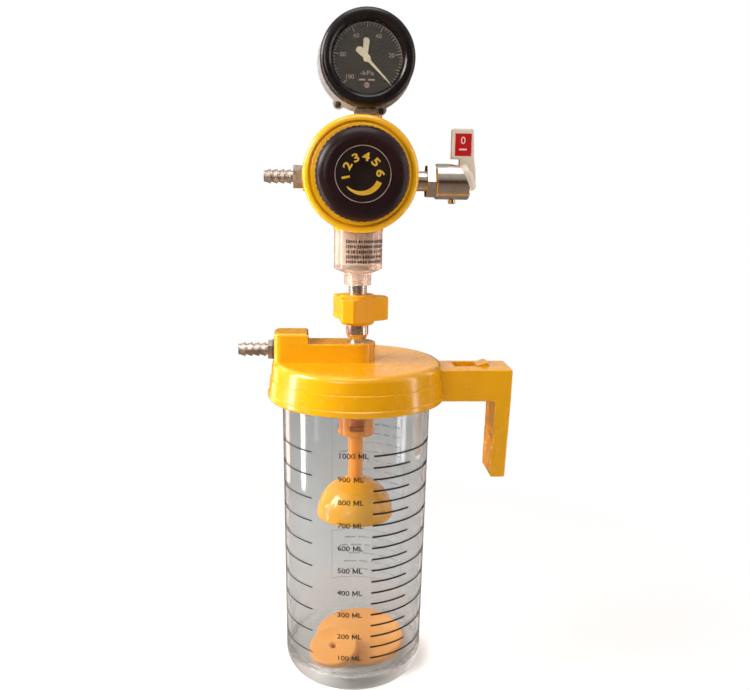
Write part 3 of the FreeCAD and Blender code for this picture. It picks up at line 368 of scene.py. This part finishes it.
def floor_material():
    """Matt near-white floor that fades into the plain white surroundings at its edge."""
    material = start_material("floor_paint", (0.86, 0.86, 0.86), 0.6)
    colour_variation(material, (0.87, 0.87, 0.87), (0.84, 0.84, 0.84), 6)
    tree = material.node_tree
    centre = tree.nodes.new("ShaderNodeTexCoord")
    length = tree.nodes.new("ShaderNodeVectorMath")
    length.operation = "LENGTH"
    tree.links.new(centre.outputs["Object"], length.inputs[0])
    glow = tree.nodes.new("ShaderNodeEmission")
    glow.inputs["Color"].default_value = (1, 1, 1, 1)
    mix = tree.nodes.new("ShaderNodeMixShader")
    fade = remap(tree, length.outputs["Value"], 0, 1, FLOOR_PLAIN, FLOOR_FADED)
    path = tree.nodes.new("ShaderNodeLightPath")
    seen = tree.nodes.new("ShaderNodeMath")
    seen.operation = "MULTIPLY"
    tree.links.new(fade, seen.inputs[0])
    tree.links.new(path.outputs["Is Camera Ray"], seen.inputs[1])
    tree.links.new(seen.outputs[0], mix.inputs[0])
    tree.links.new(tree.nodes["Principled BSDF"].outputs[0], mix.inputs[1])
    tree.links.new(glow.outputs[0], mix.inputs[2])
    tree.links.new(mix.outputs[0], tree.nodes["Material Output"].inputs["Surface"])
    return material


# ---------------------------------------------------------------- finishes of the CAD nodes

SLOT_FINISH = {
    "clear_jar": clear_jar,
    "clear_cup": clear_cup,
    "gauge_glass": gauge_glass,
    "yellow_plastic": yellow_plastic,
    "yellow_head": yellow_head,
    "dark_knob": dark_knob,
    "dark_cap": dark_cap,
    "black_bezel": black_bezel,
    "dial_face": dial_paint,
    "pointer_paint": cream_paint,
    "rubber_seal": black_rubber,
    "diaphragm_rubber": grey_rubber,
    "nickel": nickel,
    "brass_parts": brass,
    "steel_case": satin_steel,
    "steel_small": bright_steel,
    "white_lever": cream_plastic,
    "red_label": red_label,
    "filter_paper": filter_paper,
}
NODE_FINISH = {
    "splash_disc": peach_plastic,
    "float_stop": peach_plastic,
    "float_cage": orange_plastic,
    "float_stem": orange_plastic,
    "wing_nut": satin_yellow,
    "dial_screw": screw_paint,
    "lid_hose_barb": barb_metal,
    "regulator_hose_barb": barb_metal,
    "gauge_socket": upright_nickel,
    "lower_connector": upright_nickel,
    "upper_nipple": upright_nickel,
}
made_materials = {}


def finish_of(maker):
    """The material that a maker builds, made once."""
    if maker not in made_materials:
        made_materials[maker] = maker()
    return made_materials[maker]


def give_material(piece, material):
    """Puts one material in every slot of a piece."""
    if not piece.material_slots:
        piece.data.materials.append(material)
    for slot in piece.material_slots:
        slot.material = material


def paint_nodes():
    """Gives each CAD node its own finish where it has one, or else its slot's."""
    for part in frame["record"]["subparts"]:
        maker = NODE_FINISH.get(part["node"], SLOT_FINISH[part["material_slot"]])
        give_material(nodes[part["node"]], finish_of(maker))


# ---------------------------------------------------------------- surfaces that marks lie on

def surface_tree(node):
    """Search tree over a node's faces, for finding points on its surface."""
    mesh = nodes[node].data
    return BVHTree.FromPolygons([v.co for v in mesh.vertices], [p.vertices for p in mesh.polygons])


def on_round(node):
    """Places a point on an upright round surface by (degrees right of front, height, lift)."""
    tree = surface_tree(node)
    reach = 3 * (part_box(node)[1].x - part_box(node)[0].x)

    def place(degrees, height, lift):
        angle = math.radians(degrees)
        outward = Vector((math.sin(angle), -math.cos(angle), 0))
        start = outward * reach + Vector((0, 0, height))
        return tree.ray_cast(start, -outward)[0] + outward * lift

    return place


def on_front(node, centre):
    """Places a point on a face seen from the front, by (right, up, lift) from a centre."""
    tree = surface_tree(node)
    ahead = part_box(node)[0].y - 10 * MM

    def place(right, up, lift):
        start = Vector((centre.x + right, ahead, centre.z + up))
        return tree.ray_cast(start, Vector((0, 1, 0)))[0] + Vector((0, -lift, 0))

    return place


# ---------------------------------------------------------------- flat shapes and thin solids

# A mark stands INK proud of its surface unless it says otherwise, and goes SUNK into it.
INK = 0.06 * MM
SUNK = 0.03 * MM
FONT_CAPITAL = 0.69


def strip(shape, across, low, high, steps):
    """Adds a bar to a flat shape, cut into steps along its length so that it can bend."""
    start, end = across
    rows = []
    for step in range(steps + 1):
        x = start + (end - start) * step / steps
        rows.append((shape.verts.new((x, low, 0)), shape.verts.new((x, high, 0))))
    for (a, b), (c, d) in zip(rows, rows[1:]):
        shape.faces.new((a, c, d, b))


def arc_band(shape, inner, outer, start, end, steps):
    """Adds part of a ring, by clockwise degrees from the top. The radii may be functions of the share."""
    rows = []
    for step in range(steps + 1):
        share = step / steps
        angle = math.radians(start + (end - start) * share)
        pair = []
        for radius in (inner, outer):
            size = radius(share) if callable(radius) else radius
            pair.append(shape.verts.new((size * math.sin(angle), size * math.cos(angle), 0)))
        rows.append(pair)
    for (a, b), (c, d) in zip(rows, rows[1:]):
        shape.faces.new((a, b, d, c))


def ring_band(shape, inner, outer, steps):
    """Adds a closed flat ring."""
    rows = []
    for step in range(steps):
        angle = math.tau * step / steps
        direction = (math.sin(angle), math.cos(angle))
        rows.append([shape.verts.new((r * direction[0], r * direction[1], 0)) for r in (inner, outer)])
    for (a, b), (c, d) in zip(rows, rows[1:] + rows[:1]):
        shape.faces.new((a, b, d, c))


def add_words(shape, words, height, move=(0, 0), turn=0.0, align="CENTER", widen=1.0, bold=0.0):
    """Adds numbers or a unit as flat outlines, and returns their lower left and upper right corners."""
    curve = bpy.data.curves.new("letters", "FONT")
    curve.body = words
    curve.size = height / FONT_CAPITAL
    curve.align_x = align
    curve.align_y = "CENTER"
    curve.resolution_u = 3
    curve.offset = bold * height
    letters = bpy.data.objects.new("letters", curve)
    mesh = bpy.data.meshes.new_from_object(letters)
    spin = Matrix.Rotation(-math.radians(turn), 4, "Z") @ Matrix.Diagonal((widen, 1, 1, 1))
    mesh.transform(Matrix.Translation((move[0], move[1], 0)) @ spin)
    shape.from_mesh(mesh)
    across = [vertex.co.x for vertex in mesh.vertices]
    along = [vertex.co.y for vertex in mesh.vertices]
    bpy.data.objects.remove(letters)
    bpy.data.curves.remove(curve)
    bpy.data.meshes.remove(mesh)
    return (min(across), min(along)), (max(across), max(along))


# Right half of a bold M from its middle line, as shares of its width and height.
M_HALF = ((0.0, 0.42), (0.3, 1.0), (0.5, 1.0), (0.5, 0.0), (0.31, 0.0), (0.31, 0.6), (0.0, 0.05))


def add_capital_m(shape, left, low, high, wide):
    """Adds a bold M as one outline, because a font's M fills in when its outline is widened."""
    mirrored = [(-x, y) for x, y in reversed(M_HALF[1:-1])]
    corners = [(left + wide * (x + 0.5), low + (high - low) * y) for x, y in (*M_HALF, *mirrored)]
    shape.faces.new([shape.verts.new((x, y, 0)) for x, y in corners])


def add_piece(name, solid, maker, body):
    """Makes a solid into a piece with a finish, riding on a body."""
    bmesh.ops.recalc_face_normals(solid, faces=solid.faces)
    mesh = bpy.data.meshes.new(name)
    solid.to_mesh(mesh)
    solid.free()
    piece = bpy.data.objects.new(name, mesh)
    scene.collection.objects.link(piece)
    give_material(piece, finish_of(maker))
    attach(piece, body)
    return piece


def lay_on(name, shape, place, maker, body, lift=INK):
    """Turns a flat shape into a thin closed solid on a surface, riding on a body."""
    bmesh.ops.remove_doubles(shape, verts=shape.verts, dist=0.001 * MM)
    shape.verts.index_update()
    solid = bmesh.new()
    low = [solid.verts.new(place(v.co.x, v.co.y, -SUNK)) for v in shape.verts]
    high = [solid.verts.new(place(v.co.x, v.co.y, lift)) for v in shape.verts]
    for face in shape.faces:
        ring = [v.index for v in face.verts]
        solid.faces.new([high[i] for i in ring])
        solid.faces.new([low[i] for i in reversed(ring)])
    for edge in shape.edges:
        if edge.is_boundary:
            a, b = (v.index for v in edge.verts)
            solid.faces.new((low[a], low[b], high[b], high[a]))
    shape.free()
    add_piece(name, solid, maker, body)


# ---------------------------------------------------------------- marks on the jar

# Heights are above the jar's foot, and angles are degrees right of its front.
SCALE_ZERO = 14.2 * MM
SCALE_STEP = 15.3 * MM
SCALE_MARKS = 10
LINE_THICK = 1.2 * MM
LEFT_LINE_THICK = 0.9 * MM
RIGHT_START = 11.0
RIGHT_LONG_END = 92.0
RIGHT_SHORT_END = 43.0
LEFT_START = -98.0
LEFT_END = -37.5
LINE_BEND = 2.0
NUMBER_START = -15.8
NUMBER_HEIGHT = 3.2 * MM
UNIT_GAP = 1.8 * MM
M_WIDTH = 3.3 * MM
LETTER_GAP = 0.2 * MM
# Numbers are wrapped on this share of the neck's radius, a little under the wall's, which widens them.
NUMBER_WRAP = 0.86


def scale_line(shape, start, end, height, thick):
    """Adds one line of the scale, bent round the jar in short steps."""
    strip(shape, (start, end), height - thick / 2, height + thick / 2, int((end - start) / LINE_BEND))


def jar_scale(place):
    """Long lines at each hundred on both sides, short ones between them on the right."""
    shape = bmesh.new()
    for mark in range(1, SCALE_MARKS + 1):
        height = SCALE_ZERO + SCALE_STEP * mark
        scale_line(shape, RIGHT_START, RIGHT_LONG_END, height, LINE_THICK)
        scale_line(shape, LEFT_START, LEFT_END, height, LEFT_LINE_THICK)
        if mark < SCALE_MARKS:
            scale_line(shape, RIGHT_START, RIGHT_SHORT_END, height + SCALE_STEP / 2, LINE_THICK)
    lay_on("jar_scale", shape, place, dark_ink, "jar")


def jar_numbers(place):
    """Volume numbers, each set just left of its line."""
    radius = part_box("jar")[1].x * NUMBER_WRAP

    def place_flat(right, height, lift):
        return place(NUMBER_START + math.degrees(right / radius), height, lift)

    shape = bmesh.new()

    def bold_words(words, left, height):
        return add_words(shape, words, NUMBER_HEIGHT, (left, height), align="LEFT", widen=1.1, bold=0.02)

    for mark in range(1, SCALE_MARKS + 1):
        height = SCALE_ZERO + SCALE_STEP * mark
        (_, low), (right, high) = bold_words("%d" % (100 * mark), 0, height)
        add_capital_m(shape, right + UNIT_GAP, low, high, M_WIDTH)
        bold_words("L", right + UNIT_GAP + M_WIDTH + LETTER_GAP, height)
    lay_on("jar_numbers", shape, place_flat, dark_ink, "jar")


TABLE_LEFT = 128.0
TABLE_RIGHT = 199.0
# Each table's lowest and highest edge, and its number of rows.
TABLES = ((112 * MM, 168 * MM, 7), (42 * MM, 80 * MM, 5))
TABLE_SEED = 11
FRAME_THICK = 0.4 * MM
FRAME_DEGREES = 0.5
FRAME_STEPS = 24
BAR_THICK = 1.0 * MM
BAR_MARGINS = (6, 14)
BAR_DEGREES = (5, 12)
BAR_GAP = 2.5
TABLE_INK = 0.04 * MM


def table_frame(shape, low, high):
    """Adds the thin rectangular outline of a table."""
    inside = (low + FRAME_THICK, high - FRAME_THICK)
    strip(shape, (TABLE_LEFT, TABLE_RIGHT), low, inside[0], FRAME_STEPS)
    strip(shape, (TABLE_LEFT, TABLE_RIGHT), inside[1], high, FRAME_STEPS)
    strip(shape, (TABLE_LEFT, TABLE_LEFT + FRAME_DEGREES), *inside, 1)
    strip(shape, (TABLE_RIGHT - FRAME_DEGREES, TABLE_RIGHT), *inside, 1)


def back_tables(place):
    """Two faint framed tables on the back of the jar, with plain bars in place of print."""
    draw = random.Random(TABLE_SEED)
    shape = bmesh.new()
    for low, high, rows in TABLES:
        table_frame(shape, low, high)
        for row in range(rows):
            height = high - (row + 1) * (high - low) / (rows + 1)
            start = TABLE_LEFT + BAR_MARGINS[0]
            while start < TABLE_RIGHT - BAR_MARGINS[1]:
                end = start + draw.uniform(*BAR_DEGREES)
                strip(shape, (start, end), height - BAR_THICK / 2, height + BAR_THICK / 2, 4)
                start = end + BAR_GAP
    lay_on("jar_back_tables", shape, place, grey_ink, "jar", TABLE_INK)


# ---------------------------------------------------------------- marks on the filter cup

PRINT_SEED = 5
PRINT_ROWS = 5
PRINT_DROP = 12.3 * MM
PRINT_PITCH = 3.2 * MM
PRINT_START = -32.0
PRINT_END = 72.0
PRINT_DEGREES = (2.4, 4.4)
PRINT_HALF_HEIGHTS = (0.7, 1.0, 1.1)
PRINT_GAPS = (1.5, 1.9, 1.9, 4.5)
PRINT_INK = 0.05 * MM


def cup_print(place):
    """Five rows of small plain bars where the cup carries fine print."""
    draw = random.Random(PRINT_SEED)
    shape = bmesh.new()
    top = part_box("filter_bowl")[1].z - PRINT_DROP
    for row in range(PRINT_ROWS):
        height = top - row * PRINT_PITCH
        angle = PRINT_START
        while angle < PRINT_END:
            end = angle + draw.uniform(*PRINT_DEGREES)
            half = draw.choice(PRINT_HALF_HEIGHTS) * MM
            strip(shape, (angle, end), height - half, height + half, 1)
            angle = end + draw.choice(PRINT_GAPS)
    lay_on("cup_print", shape, place, dark_ink, "head", PRINT_INK)


# ---------------------------------------------------------------- marks on the knob

# Angles are clockwise degrees from the top, seen from the front.
LETTER_RADIUS = 9.9 * MM
LETTER_HEIGHT = 4.6 * MM
LETTER_ANGLES = (-101, -63, -25, 10, 47, 86)
ARROW_OUTER = 12.1 * MM
ARROW_WIDE = 3.3 * MM
ARROW_NARROWING = 2.6 * MM
ARROW_START = 114
ARROW_END = 232
RING_INNER = 16.0 * MM
RING_OUTER = 16.5 * MM
RING_INK = 0.04 * MM


def knob_marks():
    """Numbers over the top of the cap, a curved arrow that narrows clockwise below them, and a ring."""
    low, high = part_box("knob_cap")
    centre = (low + high) / 2
    place = on_front("knob_cap", centre)
    shape = bmesh.new()
    for number, angle in enumerate(LETTER_ANGLES, 1):
        turn = math.radians(angle)
        spot = (LETTER_RADIUS * math.sin(turn), LETTER_RADIUS * math.cos(turn))
        add_words(shape, str(number), LETTER_HEIGHT, spot, angle, widen=1.3, bold=0.04)

    def arrow_inner(share):
        return ARROW_OUTER - ARROW_WIDE + ARROW_NARROWING * share ** 2

    arc_band(shape, arrow_inner, ARROW_OUTER, ARROW_START, ARROW_END, 40)
    lay_on("knob_marks", shape, place, gold_ink, "knob")
    rim = bmesh.new()
    ring_band(rim, RING_INNER, RING_OUTER, 120)
    lay_on("knob_ring", rim, place, ring_ink, "knob", RING_INK)


# ---------------------------------------------------------------- marks on the gauge dial

# Angles are clockwise degrees from the top, and the scale runs anticlockwise from its start.
DIAL_SWEEP = 270
DIAL_START = 135
DIAL_STEPS = 50
DIAL_NUMBERS = 5
DIAL_FIFTH = 5
TICK_OUTER = 21.2 * MM
TICK_LONG = 3.6 * MM
TICK_MIDDLE = 2.6 * MM
TICK_SHORT = 1.6 * MM
RIM_LINE = 0.3 * MM
NUMBER_RADIUS = 15 * MM
DIAL_LETTER = 2.6 * MM
UNIT_LETTER = 2.7 * MM
UNIT_DROP = 8.2 * MM
DIAL_BARS = ((-4.8 * MM, -1.0 * MM, 1), (0.7 * MM, 4.8 * MM, 2))
BAR_LOW = -12.6 * MM
BAR_HIGH = -11.6 * MM
DIAL_INK = 0.05 * MM


def dial_marks():
    """Scale that starts at the lower right and runs over the top, with its numbers and unit."""
    low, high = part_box("gauge_dial")
    centre = (low + high) / 2
    place = on_front("gauge_dial", centre)
    shape = bmesh.new()
    for step in range(DIAL_STEPS + 1):
        angle = DIAL_START - DIAL_SWEEP * step / DIAL_STEPS
        long_mark = step % (DIAL_STEPS // DIAL_NUMBERS) == 0
        middle_mark = step % DIAL_FIFTH == 0
        length = TICK_LONG if long_mark else TICK_MIDDLE if middle_mark else TICK_SHORT
        half = 0.75 if long_mark else 0.5
        arc_band(shape, TICK_OUTER - length, TICK_OUTER, angle - half, angle + half, 1)
    arc_band(shape, TICK_OUTER, TICK_OUTER + RIM_LINE, DIAL_START - DIAL_SWEEP, DIAL_START, 90)
    for number in range(DIAL_NUMBERS + 1):
        angle = math.radians(DIAL_START - DIAL_SWEEP * number / DIAL_NUMBERS)
        spot = (NUMBER_RADIUS * math.sin(angle), NUMBER_RADIUS * math.cos(angle))
        add_words(shape, str(20 * number), DIAL_LETTER, spot)
    add_words(shape, "-kPa", UNIT_LETTER, (0, -UNIT_DROP), widen=1.3)
    for start, end, steps in DIAL_BARS:
        strip(shape, (start, end), BAR_LOW, BAR_HIGH, steps)
    lay_on("dial_marks", shape, place, pale_ink, "head", DIAL_INK)


# The screw's slot is not cut: a thin dark bar of these half sizes stands in for it as painted shade.
SLOT_HALF = (1.2 * MM, 0.2 * MM)
SLOT_SHADE_LIFT = 0.02 * MM


def dial_screw_slot():
    """Painted shade: a dark bar across the small screw at the foot of the dial, where its slot lies in
    shade.
    """
    low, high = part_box("dial_screw")
    centre = (low + high) / 2
    place = on_front("dial_screw", centre)
    shape = bmesh.new()
    strip(shape, (-SLOT_HALF[0], SLOT_HALF[0]), -SLOT_HALF[1], SLOT_HALF[1], 6)
    lay_on("dial_screw_slot", shape, place, dark_ink, "head", SLOT_SHADE_LIFT)


# The ears are this far from the gauge's middle, at these degrees anticlockwise from its right.
EAR_REACH = 30.8 * MM
EAR_ANGLES = (-124, -70)
HEAD_PROFILE = ((1.4, -1.2), (1.5, 0.05), (2.1, 0.1), (2.1, 0.5), (1.6, 0.85), (0.8, 1.0))
HEAD_SIDES = 24


def lathe_forward(shape, centre, profile):
    """Adds a closed turned solid whose (radius, forward) profile is given in millimetres."""
    rings = []
    for radius, forward in profile:
        ring = []
        for side in range(HEAD_SIDES):
            angle = math.tau * side / HEAD_SIDES
            offset = Vector((radius * math.cos(angle), -forward, radius * math.sin(angle)))
            ring.append(shape.verts.new(centre + offset * MM))
        rings.append(ring)
    for low, high in zip(rings, rings[1:]):
        for side in range(HEAD_SIDES):
            after = (side + 1) % HEAD_SIDES
            shape.faces.new((low[side], low[after], high[after], high[side]))
    shape.faces.new(rings[0])
    shape.faces.new(list(reversed(rings[-1])))


def flange_screws():
    """Dark domed screw heads in the ears of the gauge's back plate."""
    low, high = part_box("gauge_bezel")
    hub = (low + high) / 2
    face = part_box("gauge_flange")[0].y
    shape = bmesh.new()
    for angle in EAR_ANGLES:
        turn = math.radians(angle)
        spot = Vector((hub.x + EAR_REACH * math.cos(turn), face, hub.z + EAR_REACH * math.sin(turn)))
        lathe_forward(shape, spot, HEAD_PROFILE)
    heads = add_piece("flange_screws", shape, dark_screw_metal, "head")
    heads.data.shade_smooth()


# ---------------------------------------------------------------- marks on the lever

ZERO_HEIGHT = 4.4 * MM
ZERO_SPOT = (-0.2 * MM, 2.4 * MM)
CLOSED_BAR = (-2.6 * MM, 2.2 * MM)
CLOSED_BAR_LOW = -3.4 * MM
CLOSED_BAR_HIGH = -2.4 * MM


def lever_mark():
    """Plain zero and a bar on the lever's red inlay, for the closed position."""
    low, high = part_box("lever_label")
    centre = (low + high) / 2
    place = on_front("lever_label", centre)
    shape = bmesh.new()
    add_words(shape, "0", ZERO_HEIGHT, ZERO_SPOT)
    strip(shape, CLOSED_BAR, CLOSED_BAR_LOW, CLOSED_BAR_HIGH, 2)
    lay_on("lever_mark", shape, place, white_ink, "lever")


# ---------------------------------------------------------------- floor, lights, camera

FLOOR_RADIUS = 0.75
FLOOR_PLAIN = 0.06
FLOOR_FADED = 0.4
FLOOR_DROP = 0.2 * MM
MIDDLE = Vector((0, 0, 0.22))
WHITE = (1, 1, 1)


def make_floor():
    """Round floor a hair below the jar's foot, so that the two faces don't lie in one plane."""
    shape = bmesh.new()
    bmesh.ops.create_circle(shape, cap_ends=True, radius=FLOOR_RADIUS, segments=128)
    mesh = bpy.data.meshes.new("floor")
    shape.to_mesh(mesh)
    shape.free()
    floor = bpy.data.objects.new("floor", mesh)
    floor.location.z = -FLOOR_DROP
    floor.visible_glossy = False
    scene.collection.objects.link(floor)
    give_material(floor, floor_material())


def soft_light(name, azimuth, distance, height, size, watts, colour=WHITE, aim=MIDDLE, spread=180):
    """Rectangular lamp at an angle right of the front, aimed at a point, and not seen itself."""
    lamp = bpy.data.lights.new(name, "AREA")
    lamp.shape = "RECTANGLE"
    lamp.size, lamp.size_y = size
    lamp.energy = watts
    lamp.spread = math.radians(spread)
    lamp.color = colour
    holder = bpy.data.objects.new(name, lamp)
    angle = math.radians(azimuth)
    holder.location = (distance * math.sin(angle), -distance * math.cos(angle), height)
    holder.rotation_euler = (holder.location - aim).to_track_quat("Z", "Y").to_euler()
    holder.visible_camera = False
    scene.collection.objects.link(holder)
    return holder


DUCT_SPOT = Vector((-0.045, -0.03, 0))
DUCT_DROP = 6 * MM
LEG_SHARE = 0.4


def make_spots():
    """Two narrow lamps for the front of the lid's duct and the inner side of the hook's leg."""
    duct = DUCT_SPOT + Vector((0, 0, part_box("lid")[1].z - DUCT_DROP))
    duct_fill = soft_light("duct_fill", -40, 0.5, 0.42, (0.04, 0.04), 0.012, (1, 0.95, 0.85), duct, 18)
    low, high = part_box("hanging_hook")
    leg = Vector((high.x, (low.y + high.y) / 2, low.z + LEG_SHARE * (high.z - low.z)))
    leg_glow = soft_light("leg_glow", -100, 0.35, leg.z, (0.06, 0.06), 0.05, (1, 0.7, 0.65), leg, 24)
    for lamp in (duct_fill, leg_glow):
        lamp.visible_glossy = False


STRIP_HEIGHT = 0.28
STRIP_LENGTH = 0.54
ROSY = (1, 0.62, 0.52)


def make_lights():
    """Daylight from the left and above, weak fills, and tall strips that the jar's wall mirrors."""
    soft_light("key", -80, 1.0, 0.8, (0.5, 0.5), 12, (1, 0.99, 0.94))
    soft_light("overhead", -10, 0.2, 1.25, (0.7, 0.7), 4.5)
    soft_light("right_fill", 60, 1.2, 0.6, (0.5, 0.8), 0.8, (1, 0.92, 0.86))
    soft_light("front_fill", -25, 1.1, 0.55, (0.4, 0.3), 1.9, (1, 0.96, 0.9), Vector((0, 0, 0.36)))
    middle = Vector((0, 0, STRIP_HEIGHT))
    for name, azimuth, distance, width, watts, colour in (
        ("left_strip", -88, 0.36, 0.055, 1.0, WHITE),
        ("left_back_strip", -132, 0.36, 0.09, 0.4, ROSY),
        ("right_strip", 74, 0.45, 0.06, 0.5, WHITE),
        ("right_back_strip", 110, 0.45, 0.1, 0.45, ROSY),
    ):
        soft_light(name, azimuth, distance, STRIP_HEIGHT, (width, STRIP_LENGTH), watts, colour, middle)
    soft_light("back_panel", 160, 0.9, 0.43, (0.5, 0.24), 0.25, (1, 0.72, 0.6))
    make_spots()


SKY_STRENGTH = 0.5
# What the object mirrors, from straight down (0) to straight up (1).
SKY_BANDS = (
    (0.0, (0.62, 0.52, 0.44)),
    (0.36, (0.45, 0.32, 0.25)),
    (0.44, (0.1, 0.05, 0.03)),
    (0.53, (0.08, 0.04, 0.025)),
    (0.57, (0.22, 0.15, 0.06)),
    (0.64, (0.6, 0.55, 0.46)),
    (0.75, (0.85, 0.84, 0.8)),
    (1.0, (1.0, 1.0, 1.0)),
)


def make_world():
    """Plain white behind the object; what it mirrors is bright above and dark and warm low down."""
    world = bpy.data.worlds.new("studio")
    world.use_nodes = True
    tree = world.node_tree
    tree.nodes.clear()
    place = tree.nodes.new("ShaderNodeTexCoord")
    split = tree.nodes.new("ShaderNodeSeparateXYZ")
    tree.links.new(place.outputs["Generated"], split.inputs[0])
    ramp = tree.nodes.new("ShaderNodeValToRGB")
    while len(ramp.color_ramp.elements) < len(SKY_BANDS):
        ramp.color_ramp.elements.new(0.5)
    for stop, (position, colour) in zip(ramp.color_ramp.elements, SKY_BANDS):
        stop.position = position
        stop.color = (*colour, 1)
    tree.links.new(remap(tree, split.outputs["Z"], 0, 1, -1, 1), ramp.inputs[0])
    studio = tree.nodes.new("ShaderNodeBackground")
    studio.inputs["Strength"].default_value = SKY_STRENGTH
    tree.links.new(ramp.outputs[0], studio.inputs["Color"])
    white = tree.nodes.new("ShaderNodeBackground")
    white.inputs["Color"].default_value = (1, 1, 1, 1)
    path = tree.nodes.new("ShaderNodeLightPath")
    seen = tree.nodes.new("ShaderNodeMath")
    seen.operation = "MAXIMUM"
    tree.links.new(path.outputs["Is Camera Ray"], seen.inputs[0])
    tree.links.new(path.outputs["Is Transmission Ray"], seen.inputs[1])
    mix = tree.nodes.new("ShaderNodeMixShader")
    tree.links.new(seen.outputs[0], mix.inputs[0])
    tree.links.new(studio.outputs[0], mix.inputs[1])
    tree.links.new(white.outputs[0], mix.inputs[2])
    output = tree.nodes.new("ShaderNodeOutputWorld")
    tree.links.new(mix.outputs[0], output.inputs["Surface"])
    scene.world = world


# The camera's angles are in radians.
CAMERA_PLACE = Vector((-0.026, -0.5484, 0.3349))
LOOK_DOWN = 0.192
LOOK_RIGHT = 0.069
LEAN = 0.017
SENSOR_WIDTH = 36
LENS = 40.8
CLIP_START = 0.01


def make_camera():
    """Camera just left of the front, at the height of the regulator, looking slightly down."""
    forward = Vector((math.sin(LOOK_RIGHT) * math.cos(LOOK_DOWN),
                      math.cos(LOOK_RIGHT) * math.cos(LOOK_DOWN), -math.sin(LOOK_DOWN)))
    level = Vector((math.cos(LOOK_RIGHT), -math.sin(LOOK_RIGHT), 0))
    rise = level.cross(forward)
    side = math.cos(LEAN) * level + math.sin(LEAN) * rise
    up = math.cos(LEAN) * rise - math.sin(LEAN) * level
    turn = Matrix((side, up, -forward)).transposed().to_4x4()
    lens = bpy.data.cameras.new("camera")
    lens.sensor_width = SENSOR_WIDTH
    lens.lens = LENS
    lens.clip_start = CLIP_START
    camera = bpy.data.objects.new("camera", lens)
    camera.matrix_world = Matrix.Translation(CAMERA_PLACE) @ turn
    scene.collection.objects.link(camera)
    scene.camera = camera


# ---------------------------------------------------------------- build

paint_nodes()
around_jar = on_round("jar")
jar_scale(around_jar)
jar_numbers(around_jar)
back_tables(around_jar)
cup_print(on_round("filter_bowl"))
knob_marks()
dial_marks()
dial_screw_slot()
flange_screws()
lever_mark()
make_floor()
make_lights()
make_world()
make_camera()
scene.view_settings.view_transform = "Standard"
